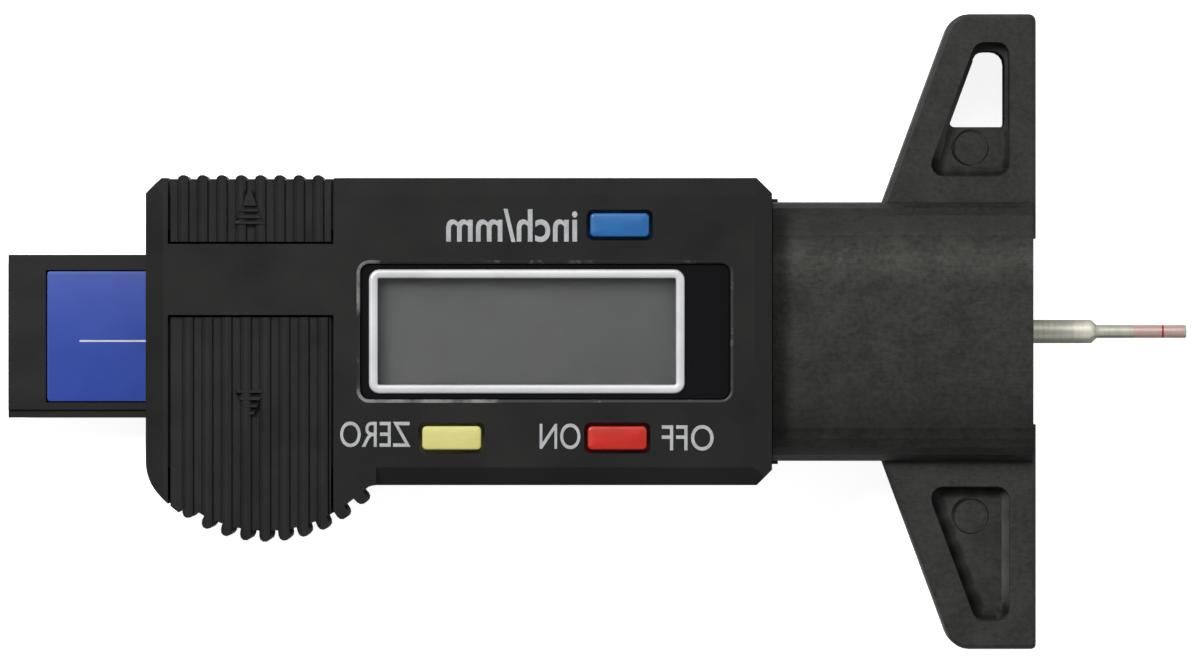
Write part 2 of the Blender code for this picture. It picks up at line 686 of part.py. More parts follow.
def make_foot(material):
    foot = plate("foot", [wing_outline()], 0.0, FOOT_DEPTH)
    round_edges(foot, WING_EDGE)
    tongue_low = BACK_WALL + FIT
    half = INNER_TOP - BOARD_MARGIN
    join(
        foot,
        plate("foot_neck", [neck_section()], NECK_END, -FACE_RELIEF, "X"),
        block("foot_tongue", (TONGUE_END, NECK_END + BITE), (-half, half), (tongue_low, CASE_SPLIT - FIT)),
    )
    gap = (SLIDE_BOTTOM - FIT, SLIDE_TOP + FIT)
    lug_gap = (gap[0] - LUG_HEIGHT, gap[1] + LUG_HEIGHT)
    hollow_half = NECK_WIDTH / 2 - NECK_WALL
    cut(
        foot,
        block("foot_relief", (-FACE_RELIEF, THROUGH), (-RELIEF_WIDTH / 2, RELIEF_WIDTH / 2),
              (-THROUGH, NECK_DEPTH + THROUGH)),
        block("foot_channel", (TONGUE_END - THROUGH, FACE_INSIDE), gap, (SLIDE_LOW - FIT, SLIDE_HIGH + FIT)),
        block("foot_channel_mouth", (TONGUE_END - THROUGH, NECK_END), gap,
              (SLIDE_HIGH, CASE_SPLIT + THROUGH)),
        block("foot_lug_groove", (LUG_STOP_X, FACE_INSIDE), lug_gap,
              (SLIDE_LOW + FIT, SLIDE_HIGH - FIT)),
        block("foot_hollow", (NECK_END - THROUGH, FACE_INSIDE), (-hollow_half, hollow_half),
              (SLIDE_HIGH + FIT + WELL_WALL, NECK_DEPTH - NECK_WALL)),
        rod("foot_probe_hole", PROBE_RADIUS + PROBE_BORE_GAP,
            (FACE_INSIDE - BITE, 0, PROBE_Z), (THROUGH, 0, PROBE_Z)),
        wing_pocket("upper_pocket", 1),
        wing_pocket("lower_pocket", -1),
        ejector_mark("upper_ejector_mark", 1),
        ejector_mark("lower_ejector_mark", -1),
        lanyard_hole(),
    )
    for side in (1, -1):
        hole = (BOSS_NEAR, side * BOSS_ROW)
        cut(foot, rod(f"foot_screw_hole_{side}", SCREW_RADIUS + KEY_GAP,
                      (*hole, 0), (*hole, CASE_SPLIT + THROUGH)))
    return finish(foot, material)


# Case

def make_back_case(material):
    back = case_shell("back_case", 0.0, CASE_SPLIT)
    cut(back, plate("back_cavity", [cavity_outline()], BACK_WALL, CASE_SPLIT + THROUGH))
    runners = (INNER_LEFT - BITE, TONGUE_END - FIT)
    floor = BACK_WALL - BITE
    runner_top = SLIDE_LOW - FIT
    guide_top = CASE_SPLIT - FIT
    gib_space = 2 * FIT + GIB_THICKNESS + GIB_BOW
    for i, y in enumerate((SLIDE_TOP - RUNNER_INSET, SLIDE_BOTTOM + RUNNER_INSET)):
        span = (y - RUNNER_WIDTH / 2, y + RUNNER_WIDTH / 2)
        join(back, block(f"slide_runner_{i}", runners, span, (floor, runner_top)))
    upper = SLIDE_TOP + gib_space
    lower = SLIDE_BOTTOM - FIT
    rests = (BOSS_FAR + BOSS_RADIUS + SEAM, TONGUE_END - FIT)
    join(
        back,
        block("upper_guide", runners, (upper, upper + GUIDE_WALL), (floor, guide_top)),
        block("lower_guide", runners, (lower - GUIDE_WALL, lower), (floor, guide_top)),
        block("upper_board_rest", rests, (upper, upper + GUIDE_WALL), (guide_top - BITE, BOARD_LOW - FIT)),
        block("lower_board_rest", rests, (lower - GUIDE_WALL, lower), (guide_top - BITE, BOARD_LOW - FIT)),
    )
    for i, (x, y) in enumerate(BOSSES):
        if x == BOSS_FAR:
            join(back, rod(f"back_boss_{i}", BOSS_RADIUS, (x, y, floor), (x, y, CASE_SPLIT - FIT)))
        cut(
            back,
            rod(f"back_screw_hole_{i}", SCREW_RADIUS + KEY_GAP, (x, y, -THROUGH),
                (x, y, CASE_SPLIT + THROUGH)),
            rod(f"back_head_seat_{i}", SCREW_HEAD_RADIUS + KEY_GAP, (x, y, -THROUGH),
                (x, y, SCREW_HEAD_DEPTH + FIT)),
        )
    cut(
        back,
        block("tail_slot", (CASE_LEFT - THROUGH, INNER_LEFT + THROUGH), (SLIDE_BOTTOM - FIT, SLIDE_TOP + FIT),
              (SLIDE_LOW - FIT, CASE_SPLIT + THROUGH)),
        block("tongue_mouth", (INNER_RIGHT - THROUGH, CASE_RIGHT + THROUGH), (-INNER_TOP, INNER_TOP),
              (BACK_WALL, CASE_SPLIT + THROUGH)),
    )
    return finish(back, material)


def cover_window(name):
    """The cutter that opens the front case under both covers, down to the back case."""
    bump_left, bump_right = COVER_LEFT, COVER_RIGHT
    reach = BUMP_INSIDE - FIT
    start = math.degrees(math.atan2(-circle_drop(reach, bump_left), bump_left - BUMP_X))
    end = math.degrees(math.atan2(-circle_drop(reach, bump_right), bump_right - BUMP_X))
    low = -CASE_WIDTH
    outline = arc((BUMP_X, BUMP_Y), reach, start, end, 12) + [(bump_right, low), (bump_left, low)]
    return plate(name, [outline], FRONT_LOW - THROUGH, CASE_DEPTH + THROUGH)


def make_front_case(material):
    front = case_shell("front_case", FRONT_LOW, CASE_DEPTH)
    cut(
        front,
        block("bottom_bevel", (bump_fillet_x(), CASE_RIGHT + THROUGH), (-BEVEL_WIDTH, BEVEL_WIDTH),
              (-BEVEL_WIDTH, BEVEL_WIDTH)),
        plate("front_cavity", [cavity_outline()], CASE_SPLIT - THROUGH, FRONT_INSIDE),
    )
    bevel = bpy.data.objects["bottom_bevel"]
    tilt = math.atan2(BEVEL_DROP, BEVEL_WIDTH)
    bevel.rotation_euler = (tilt, 0, 0)
    middle = Vector((0, -CASE_TOP + BEVEL_WIDTH / 2, CASE_DEPTH - BEVEL_DROP / 2))
    outward = Vector((0, -math.sin(tilt), math.cos(tilt)))
    bevel.location = middle + outward * BEVEL_WIDTH
    well_low, well_high = WELL_LOW, FRONT_INSIDE + BITE
    join(
        front,
        rod("well", WELL_RADIUS + WELL_WALL, (CELL_X, CELL_Y, well_low), (CELL_X, CELL_Y, well_high), 32),
        block("well_web", (INNER_LEFT - BITE, BOSS_FAR), (CELL_Y - WELL_WALL / 2, CELL_Y + WELL_WALL / 2),
              (BOARD_SEAT, well_high)),
        block("port_wall", (INNER_LEFT - BITE, COVER_RIGHT + BAY_WALL),
              (PORT_COVER_LOW - SEAM - BAY_WALL, PORT_COVER_LOW - SEAM), (BOARD_SEAT, well_high)),
    )
    for i, (x, y) in enumerate(BOSSES):
        join(
            front,
            rod(f"front_boss_{i}", BOSS_RADIUS, (x, y, CASE_SPLIT + FIT), (x, y, FRONT_INSIDE + BITE)),
            rod(f"front_collar_{i}", BOSS_COLLAR, (x, y, BOARD_SEAT),
                (x, y, BOARD_SEAT + BOSS_COLLAR_HEIGHT)),
        )
        cut(front, rod(f"front_pilot_{i}", SCREW_RADIUS + FIT, (x, y, 0), (x, y, SCREW_LENGTH + BITE)))
    panel = (FRONT_INSIDE, CASE_DEPTH + THROUGH)
    rail_x = (COVER_LEFT - RAIL_WIDTH - FIT, COVER_RIGHT + RAIL_WIDTH + FIT)
    rail_z = (COVER_INSIDE - FIT, COVER_INSIDE + RAIL_DEPTH + FIT)
    out = CASE_WIDTH
    cut(
        front,
        rod("well_bore", WELL_RADIUS, (CELL_X, CELL_Y, WELL_FLOOR_HIGH), (CELL_X, CELL_Y, CASE_DEPTH), 32),
        cover_window("battery_cover_side"),
        block("battery_cover_panel", (COVER_LEFT, COVER_RIGHT), (-out, BATTERY_COVER_TOP), panel),
        block("battery_cover_grooves", rail_x, (-out, BATTERY_COVER_TOP - SEAM), rail_z),
        block("port_cover_panel", (COVER_LEFT, COVER_RIGHT), (PORT_COVER_LOW, out), panel),
        block("port_cover_side", (COVER_LEFT, COVER_RIGHT), (INNER_TOP, out),
              (FRONT_LOW - THROUGH, CASE_DEPTH)),
        block("port_cover_grooves", rail_x, (CASE_TOP - PORT_RAIL_LENGTH - 2 * SEAM, out), rail_z),
        plate("window_seat", [rectangle((WINDOW_LEFT, WINDOW_RIGHT), (-WINDOW_HALF, WINDOW_HALF),
                                        WINDOW_RADIUS)], WINDOW_LOW - FIT, CASE_DEPTH + THROUGH),
        plate("window_hole", [rectangle((VIEW[0] - WINDOW_LEDGE, VIEW[1] + WINDOW_LEDGE),
                                        (-VIEW_HALF - WINDOW_LEDGE / 2, VIEW_HALF + WINDOW_LEDGE / 2))],
              FRONT_INSIDE - THROUGH, CASE_DEPTH),
    )
    for name, (x, y) in KEYS.items():
        hole = key_outline(x, y, KEY_GAP)
        cut(front, plate(name + "_key_hole", [hole], FRONT_INSIDE - THROUGH, CASE_DEPTH + THROUGH))
    return finish(front, material)


# Covers

def cover_section(first_rib):
    """A cover seen along Y, with its ribs standing on its front."""
    low, base = FRONT_LOW, CASE_DEPTH - FACE_RIB_HEIGHT
    left, right = COVER_LEFT + SEAM, COVER_RIGHT - SEAM
    points = [(left, low), (right, low), (right, base)]
    for i in reversed(range(COVER_RIBS)):
        x = COVER_LEFT + first_rib + i * RIB_PITCH
        for k in range(RIB_STEPS + 1):
            a = math.pi * k / RIB_STEPS
            points.append((x + RIB_WIDTH / 2 * math.cos(a), base + FACE_RIB_HEIGHT * math.sin(a)))
    return points + [(left, base)]


def cover_rails(cover, name, y_range):
    left, right = COVER_LEFT + SEAM, COVER_RIGHT - SEAM
    reach = SEAM + RAIL_WIDTH
    z_range = (COVER_INSIDE, COVER_INSIDE + RAIL_DEPTH)
    join(
        cover,
        block(name + "_left_rail", (left - reach, left + BITE), y_range, z_range),
        block(name + "_right_rail", (right - BITE, right + reach), y_range, z_range),
    )


def make_battery_cover(material, parent):
    cover = plate("battery_cover", [case_outline()], FRONT_LOW, CASE_DEPTH)
    section = plate("battery_cover_section", [cover_section(BUMP_FIRST_RIB)], -CASE_WIDTH,
                    BATTERY_COVER_TOP - SEAM, "Y")
    keep_inside(cover, section)
    reach = BUMP_INSIDE + SEAM
    start = math.degrees(math.atan2(-circle_drop(reach, COVER_LEFT), COVER_LEFT - BUMP_X))
    end = math.degrees(math.atan2(-circle_drop(reach, COVER_RIGHT), COVER_RIGHT - BUMP_X))
    inside = arc((BUMP_X, BUMP_Y), reach, start, end, 12) + [(COVER_RIGHT, CASE_TOP), (COVER_LEFT, CASE_TOP)]
    cut(cover, plate("battery_cover_inside", [inside], 0.0, COVER_INSIDE))
    top = BATTERY_COVER_TOP - 2 * SEAM
    cover_rails(cover, "battery_cover", (top - BATTERY_RAIL_LENGTH, top))
    return finish(cover, material, parent)


def port_cover_outline():
    """The port cover seen along Z: its top edge carries the ends of the ribs."""
    left, right = COVER_LEFT + SEAM, COVER_RIGHT - SEAM
    low = PORT_COVER_LOW + SEAM
    points = [(left, low), (right, low), (right, CASE_TOP - SEAM)]
    for i in reversed(range(COVER_RIBS)):
        x = COVER_LEFT + PORT_FIRST_RIB + i * RIB_PITCH
        for k in range(RIB_STEPS + 1):
            a = math.pi * k / RIB_STEPS
            points.append((x + RIB_WIDTH / 2 * math.cos(a), CASE_TOP - SEAM + FACE_RIB_HEIGHT * math.sin(a)))
    return points + [(left, CASE_TOP - SEAM)]


def make_port_cover(material, parent):
    cover = plate("port_cover", [port_cover_outline()], FRONT_LOW, CASE_DEPTH)
    section = plate("port_cover_section", [cover_section(PORT_FIRST_RIB)], 0.0, CASE_WIDTH, "Y")
    keep_inside(cover, section)
    cut(cover, block("port_cover_inside", (CASE_LEFT, BOSS_FAR), (0.0, INNER_TOP + FIT), (0.0, COVER_INSIDE)))
    cover_rails(cover, "port_cover", (CASE_TOP - PORT_RAIL_LENGTH, CASE_TOP - SEAM))
    return finish(cover, material, parent)


# Display

def window_rectangle(inset, radius):
    return rectangle((WINDOW_LEFT + inset, WINDOW_RIGHT - inset),
                     (-WINDOW_HALF + inset, WINDOW_HALF - inset), radius)


def view_rectangle(grow, radius=0.0):
    return rectangle((VIEW[0] - grow, VIEW[1] + grow), (-VIEW_HALF - grow, VIEW_HALF + grow), radius)


def make_display(materials):
    bezel = plate("display_bezel", [window_rectangle(FIT, WINDOW_RADIUS), view_rectangle(FIT)],
                  WINDOW_LOW, WINDOW_HIGH)
    finish(bezel, materials["gloss_black"])
    frame_low = WINDOW_HIGH + FIT / 2
    frame = plate("display_frame", [view_rectangle(FRAME_BAR, FRAME_RADIUS), view_rectangle(0.0)],
                  frame_low, frame_low + FRAME_HEIGHT)
    round_edges(frame, FRAME_HEIGHT / 3, 1)
    finish(frame, materials["silver"])
    lens = plate("display_lens", [view_rectangle(-FIT / 2)], WINDOW_LOW, WINDOW_HIGH - FIT)
    finish(lens, materials["clear"])
    cell = block("lcd_cell", GLASS, (-GLASS_HALF, GLASS_HALF), (GLASS_LOW, GLASS_HIGH))
    finish(cell, materials["lcd"])
    make_lcd_holder(materials["white"])
    length = (GLASS[0] + 2 * STRIP_WIDTH, GLASS[1] - 2 * STRIP_WIDTH)
    for name, side in (("upper", 1), ("lower", -1)):
        y = side * STRIP_ROW
        strip = block(f"{name}_contact_strip", length, (y - STRIP_WIDTH / 2, y + STRIP_WIDTH / 2),
                      (BOARD_SEAT, GLASS_LOW - FIT))
        finish(strip, materials["rubber"])


def make_lcd_holder(material):
    """A frame on the board that keeps the glass cell and its two contact strips in line."""
    out_x = (GLASS[0] - FIT - HOLDER_WALL, GLASS[1] + FIT + HOLDER_WALL)
    out_y = GLASS_HALF + FIT + HOLDER_WALL
    holder = block("lcd_holder", out_x, (-out_y, out_y), (BOARD_SEAT, GLASS_HIGH))
    pocket_x = (GLASS[0] - FIT, GLASS[1] + FIT)
    pocket_y = GLASS_HALF + FIT
    strip_x = (GLASS[0] + 2 * STRIP_WIDTH - FIT, GLASS[1] - 2 * STRIP_WIDTH + FIT)
    through = (BOARD_SEAT - THROUGH, GLASS_HIGH)
    cut(
        holder,
        block("lcd_pocket", pocket_x, (-pocket_y, pocket_y), (GLASS_LOW - FIT, GLASS_HIGH + THROUGH)),
        block("lcd_middle", strip_x, (-HOLDER_MIDDLE, HOLDER_MIDDLE), through),
    )
    for side in (1, -1):
        y = side * STRIP_ROW
        slot = (y - STRIP_WIDTH / 2 - FIT, y + STRIP_WIDTH / 2 + FIT)
        cut(holder, block(f"strip_slot_{side}", strip_x, slot, through))
    finish(holder, material)


# Board, buttons, battery, data port and screws

def make_board(materials):
    left, right = INNER_LEFT + BOARD_MARGIN, INNER_RIGHT - BOARD_MARGIN
    top = INNER_TOP - BOARD_MARGIN
    outline = [(BOSS_FAR, -top), (right, -top), (right, top), (left, top), (left, top - ARM_WIDTH),
               (BOARD_LEFT, top - ARM_WIDTH), (BOARD_LEFT, -BOSS_ROW), (BOSS_FAR, -BOSS_ROW)]
    board = plate("circuit_board", [outline], BOARD_LOW, BOARD_HIGH)
    for i, (x, y) in enumerate(BOSSES):
        cut(board, rod(f"board_hole_{i}", BOSS_RADIUS + KEY_GAP, (x, y, 0), (x, y, CASE_DEPTH)))
    finish(board, materials["board"])
    chip_x = (GLASS[0] + GLASS[1]) / 2
    dome = [(CHIP_RADIUS * math.sin(a), CHIP_HEIGHT * math.cos(a))
            for a in (math.radians(d) for d in (0, 22, 45, 68, 90))]
    chip = turned("chip_cap", dome + [(0, 0)], 20, (chip_x, 0, BOARD_SEAT))
    finish(chip, materials["epoxy"])


def key_outline(x, y, grow):
    return rectangle((x - KEY_LENGTH / 2 - grow, x + KEY_LENGTH / 2 + grow),
                     (y - KEY_WIDTH / 2 - grow, y + KEY_WIDTH / 2 + grow), KEY_RADIUS + grow / 2)


def make_key(name, material, rubber):
    """A button with its flange and stem, and the rubber dome under it."""
    x, y = KEYS[name]
    axis = new_empty(name + "_key_axis", (x, y, CASE_DEPTH))
    key = plate(name + "_button", [key_outline(x, y, 0.0)], FRONT_INSIDE - BITE, CASE_DEPTH + KEY_PROUD)
    round_edges(key, KEY_RADIUS / 2)
    flange_high = FRONT_INSIDE - FIT
    flange = rectangle((x - KEY_LENGTH / 2 - KEY_FLANGE, x + KEY_LENGTH / 2 + KEY_FLANGE),
                       (y - KEY_WIDTH / 2 - KEY_FLANGE, y + KEY_WIDTH / 2 + KEY_FLANGE), KEY_RADIUS)
    join(
        key,
        plate(name + "_flange", [flange], flange_high - KEY_FLANGE_DEPTH, flange_high),
        rod(name + "_stem", KEY_STEM_RADIUS, (x, y, DOME_HIGH + FIT), (x, y, FRONT_INSIDE - 2 * FIT), 16),
    )
    finish(key, material, axis)
    wall = DOME_HEIGHT / 3
    profile = [
        (0, DOME_HEIGHT), (DOME_RADIUS / 2, DOME_HEIGHT), (DOME_RADIUS - wall / 2, wall), (DOME_RADIUS, 0),
        (DOME_RADIUS - wall, 0), (DOME_RADIUS / 2 - wall / 4, DOME_HEIGHT - wall), (0, DOME_HEIGHT - wall),
    ]
    finish(turned(name + "_dome", profile, 20, (x, y, BOARD_SEAT)), rubber)


def make_battery(materials):
    step = CELL_HEIGHT / 16
    top = [(0, CELL_HEIGHT), (CELL_RADIUS - step, CELL_HEIGHT), (CELL_RADIUS, CELL_HEIGHT - step)]
    skirt = [(CELL_RADIUS, 2 * step), (CELL_RADIUS - step, step), (0.8 * CELL_RADIUS, step)]
    cap = [(0.78 * CELL_RADIUS, 0), (0, 0)]
    finish(turned("battery", top + skirt + cap, 32, (CELL_X, CELL_Y, CELL_LOW)), materials["steel"])

    half = LEAF_LENGTH / 2
    rise = CELL_LOW - WELL_FLOOR_HIGH - 2 * FIT - LEAF_THICKNESS
    places = [i / LEAF_SPANS for i in range(LEAF_SPANS + 1)]
    under = [(CELL_X - half + LEAF_LENGTH * t, WELL_FLOOR_HIGH + FIT + rise * math.sin(math.pi * t))
             for t in places]
    over = [(x, z + LEAF_THICKNESS) for x, z in reversed(under)]
    negative = plate("negative_contact", [under + over],
                     CELL_Y - LEAF_WIDTH / 2, CELL_Y + LEAF_WIDTH / 2, "Y")
    finish(negative, materials["brass"])

    x = CELL_X + CELL_RADIUS + (WELL_GAP - SIDE_LEAF_THICKNESS) / 2
    positive = block("positive_contact", (x, x + SIDE_LEAF_THICKNESS),
                     (CELL_Y - SIDE_LEAF_WIDTH / 2, CELL_Y + SIDE_LEAF_WIDTH / 2),
                     (CELL_LOW + BITE, CELL_LOW + BITE + SIDE_LEAF_HEIGHT))
    finish(positive, materials["brass"])


def make_data_port(materials):
    half = SOCKET_LENGTH / 2
    high = BOARD_SEAT + SOCKET_HEIGHT
    socket = block("data_socket", (PORT_MIDDLE - half, PORT_MIDDLE + half), (SOCKET_LOW_Y, SOCKET_HIGH_Y),
                   (BOARD_SEAT, high))
    slot_y = (SOCKET_LOW_Y + SOCKET_HIGH_Y) / 2
    slot_low = BOARD_SEAT + SOCKET_WALL
    slot_length = SOCKET_LENGTH - 2 * SOCKET_WALL
    cut(socket, block("socket_slot", (PORT_MIDDLE - slot_length / 2, PORT_MIDDLE + slot_length / 2),
                      (slot_y - SOCKET_SLOT_WIDTH / 2, slot_y + SOCKET_SLOT_WIDTH / 2),
                      (slot_low, high + THROUGH)))
    finish(socket, materials["case"])
    pitch = slot_length / SOCKET_PINS
    pin_low = slot_y - SOCKET_SLOT_WIDTH / 2 + FIT
    for i in range(SOCKET_PINS):
        x = PORT_MIDDLE - slot_length / 2 + pitch * (i + 0.5)
        pin = block(f"data_contact_{i + 1}", (x - PIN_WIDTH / 2, x + PIN_WIDTH / 2),
                    (pin_low, pin_low + PIN_THICKNESS), (slot_low + FIT, high - SOCKET_WALL))
        finish(pin, materials["brass"])


def make_screws(material):
    """Case screws with cross recesses, driven from the back."""
    for i, (x, y) in enumerate(BOSSES):
        head = SCREW_HEAD_DEPTH
        profile = [
            (0, SCREW_LENGTH), (SCREW_RADIUS / 2, SCREW_LENGTH), (SCREW_RADIUS, SCREW_LENGTH - SCREW_RADIUS),
            (SCREW_RADIUS, head), (SCREW_HEAD_RADIUS, head), (SCREW_HEAD_RADIUS, head / 3),
            (SCREW_HEAD_RADIUS * 0.8, FIT), (0, FIT),
        ]
        screw = turned(f"case_screw_{i + 1}", profile, 20, (x, y, 0))
        wide = SCREW_HEAD_RADIUS * 0.6
        for k, (u, v) in enumerate(((wide, SCREW_SLOT / 2), (SCREW_SLOT / 2, wide))):
            cut(screw, block(f"screw_slot_{i}_{k}", (x - u, x + u), (y - v, y + v), (-BITE, head - SCREW_SLOT)))
        finish(screw, material)


# Slide

def make_slide(materials, parent):
    slide = block("slide_bar", (TAIL_X, NOSE_X), (SLIDE_BOTTOM, SLIDE_TOP), (SLIDE_LOW, SLIDE_HIGH))
    lug = (SLIDE_BOTTOM - LUG_HEIGHT, SLIDE_TOP + LUG_HEIGHT)
    join(slide, block("slide_lugs", (NOSE_X - LUG_LENGTH, NOSE_X), lug,
                      (SLIDE_LOW + 2 * FIT, SLIDE_HIGH - 2 * FIT)))
    label_y = (SLIDE_BOTTOM + LABEL_RIM, SLIDE_TOP - LABEL_RIM)
    cut(
        slide,
        block("label_recess", (LABEL_LEFT - FIT, LABEL_RIGHT + FIT),
              (label_y[0] - FIT, label_y[1] + FIT), (STRIP_LOW - FIT / 2, SLIDE_HIGH + THROUGH)),
        rod("probe_seat", PROBE_RADIUS + FIT,
            (NOSE_X - PROBE_GRIP - FIT, 0, PROBE_Z), (NOSE_X + THROUGH, 0, PROBE_Z)),
    )
    long = (TAIL_X - THROUGH, NOSE_X - 2 * LUG_LENGTH)
    step_z = (SLIDE_HIGH - SLIDE_EDGE_STEP, SLIDE_HIGH + THROUGH)
    for name, edge in (("upper_edge_step", SLIDE_TOP), ("lower_edge_step", SLIDE_BOTTOM)):
        cut(slide, block(name, long, (edge - SLIDE_EDGE_WIDTH, edge + SLIDE_EDGE_WIDTH), step_z))
    finish(slide, materials["case"], parent)

    strip = block("scale_strip", (LABEL_LEFT, LABEL_RIGHT), label_y, (STRIP_LOW, STRIP_HIGH))
    finish(strip, materials["board"], parent)
    label = block("scale_label", (LABEL_LEFT, LABEL_RIGHT), label_y, (LABEL_HIGH - LABEL_DEPTH, LABEL_HIGH))
    finish(label, materials["blue_label"], parent)

    shoulder = PROBE_TIP_LENGTH
    tail = PROBE_OUT - (NOSE_X - PROBE_GRIP)
    profile = [
        (0, 0), (PROBE_TIP_RADIUS - PROBE_CHAMFER, 0), (PROBE_TIP_RADIUS, -PROBE_CHAMFER),
        (PROBE_TIP_RADIUS, PROBE_CONE - shoulder), (PROBE_RADIUS - PROBE_CHAMFER, -shoulder),
        (PROBE_RADIUS, -shoulder - PROBE_CHAMFER), (PROBE_RADIUS, -tail), (0, -tail),
    ]
    probe = turned("probe", profile, 24, (PROBE_OUT, 0, PROBE_Z), (0, math.pi / 2, 0))
    finish(probe, materials["steel"], None)
    probe.parent = parent
    probe.location = (PROBE_OUT, 0, 0)


def make_gib(material):
    """A bowed leaf beside the slide that takes up its play."""
    right = TONGUE_END - GIB_FROM_TONGUE
    left = right - GIB_LENGTH
    base = SLIDE_TOP + FIT
    steps = 8
    near = [(left + GIB_LENGTH * i / steps, base + GIB_BOW * (1 - math.sin(math.pi * i / steps)))
            for i in range(steps + 1)]
    far = [(x, y + GIB_THICKNESS) for x, y in reversed(near)]
    gib = plate("slide_gib", [near + far], SLIDE_LOW + FIT, SLIDE_HIGH - FIT)
    finish(gib, material)


def new_empty(name, location):
    empty = bpy.data.objects.new(name, None)
    empty.empty_display_size = EMPTY_SIZE
    empty.location = location
    PARTS.objects.link(empty)
    empty.parent = DATUM
    return empty


clear_scene()
PARTS = new_collection("tread_depth_gauge")
HELPERS = new_collection("cutters")
HELPERS.hide_render = True
DATUM = bpy.data.objects.new("gauge_datum", None)
PARTS.objects.link(DATUM)
DATUM.location = (-(PROBE_OUT + TAIL_X) / 2, 0, 0)


def main():
    materials = {
        "foot": new_material("foot_nylon", (0.045, 0.045, 0.042), 0.62),
        "case": new_material("case_black", (0.028, 0.028, 0.027), 0.48),
        "gloss_black": new_material("window_black", (0.008, 0.008, 0.009), 0.12),
        "silver": new_material("frame_silver", (0.52, 0.53, 0.54), 0.35),
        "clear": new_material("clear_lens", (0.75, 0.78, 0.78), 0.05),
        "lcd": new_material("lcd_grey", (0.13, 0.135, 0.135), 0.25),
        "white": new_material("holder_white", (0.75, 0.75, 0.72), 0.5),
        "rubber": new_material("contact_rubber", (0.25, 0.22, 0.25), 0.7),
        "board": new_material("board_green", (0.03, 0.16, 0.07), 0.4),
        "epoxy": new_material("chip_epoxy", (0.01, 0.01, 0.01), 0.3),
        "steel": new_material("steel", (0.62, 0.61, 0.57), 0.3, 1.0),
        "brass": new_material("contact_bronze", (0.75, 0.52, 0.25), 0.35, 1.0),
        "blue_label": new_material("label_blue", (0.04, 0.09, 0.42), 0.4),
        "blue": new_material("button_blue", (0.03, 0.17, 0.6), 0.4),
        "red": new_material("button_red", (0.65, 0.03, 0.02), 0.4),
        "yellow": new_material("button_yellow", (0.85, 0.78, 0.25), 0.4),
    }
    make_foot(materials["foot"])
    make_back_case(materials["case"])
    make_front_case(materials["case"])
    battery_axis = new_empty("battery_cover_axis", (BUMP_X, BATTERY_COVER_TOP, COVER_INSIDE))
    make_battery_cover(materials["case"], battery_axis)
    port_axis = new_empty("port_cover_axis", (PORT_MIDDLE, PORT_COVER_LOW, COVER_INSIDE))
    make_port_cover(materials["case"], port_axis)
    make_display(materials)
    make_board(materials)
    for name, colour in (("unit", "blue"), ("power", "red"), ("zero", "yellow")):
        make_key(name, materials[colour], materials["rubber"])
    make_battery(materials)
    make_data_port(materials)
    make_screws(materials["steel"])
    make_slide(materials, new_empty("probe_axis", (0, 0, PROBE_Z)))
    make_gib(materials["brass"])


main()
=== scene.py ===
import json
import math

import bmesh
import bpy
import numpy as np
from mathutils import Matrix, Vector

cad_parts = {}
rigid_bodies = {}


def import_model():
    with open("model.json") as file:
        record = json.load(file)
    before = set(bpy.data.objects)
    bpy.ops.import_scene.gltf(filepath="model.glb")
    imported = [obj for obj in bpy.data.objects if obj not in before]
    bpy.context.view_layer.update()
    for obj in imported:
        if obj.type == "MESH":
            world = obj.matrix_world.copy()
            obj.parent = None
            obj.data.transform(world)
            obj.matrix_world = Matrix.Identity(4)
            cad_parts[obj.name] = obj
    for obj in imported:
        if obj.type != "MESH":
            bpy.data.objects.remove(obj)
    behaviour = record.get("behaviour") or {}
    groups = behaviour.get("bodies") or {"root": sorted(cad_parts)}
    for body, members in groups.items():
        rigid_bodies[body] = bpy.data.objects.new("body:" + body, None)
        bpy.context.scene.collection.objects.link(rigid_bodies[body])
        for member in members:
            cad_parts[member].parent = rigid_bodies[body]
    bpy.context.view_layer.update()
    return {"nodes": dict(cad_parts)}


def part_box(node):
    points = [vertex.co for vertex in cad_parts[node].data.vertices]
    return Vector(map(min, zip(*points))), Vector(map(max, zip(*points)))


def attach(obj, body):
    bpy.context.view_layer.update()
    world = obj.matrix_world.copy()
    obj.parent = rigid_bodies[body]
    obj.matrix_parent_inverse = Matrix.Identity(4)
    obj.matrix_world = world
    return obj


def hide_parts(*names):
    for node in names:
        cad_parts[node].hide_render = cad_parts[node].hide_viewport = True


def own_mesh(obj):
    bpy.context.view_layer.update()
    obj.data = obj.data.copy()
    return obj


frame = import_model()
mm = 0.001
inScene = bpy.context.scene.collection.objects
print("frame loaded:", len(frame["nodes"]), "nodes")

# Photograph: where its pixels lie on the gauge
photo = {
    "width": 1200,
    "height": 663,
    "pixel": 0.085 * mm,       # size of a pixel on the gauge
    "middle": (0.19 * mm, 0.0),
    "plane": 9.0 * mm,         # the height at which a pixel has that size
    "distance": 1.1,           # camera above that height
    "sensor": 36.0,
}


def fromPixels(px, py):
    x = photo["middle"][0] + (px - photo["width"] / 2) * photo["pixel"]
    y = photo["middle"][1] + (photo["height"] / 2 - py) * photo["pixel"]
    return x, y


def boxOf(node):
    low, high = (np.array(corner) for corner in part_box(node))
    return low, high, (low + high) / 2, (high - low) / 2


caseFace = boxOf("front_case")[1][2]


# Surfaces

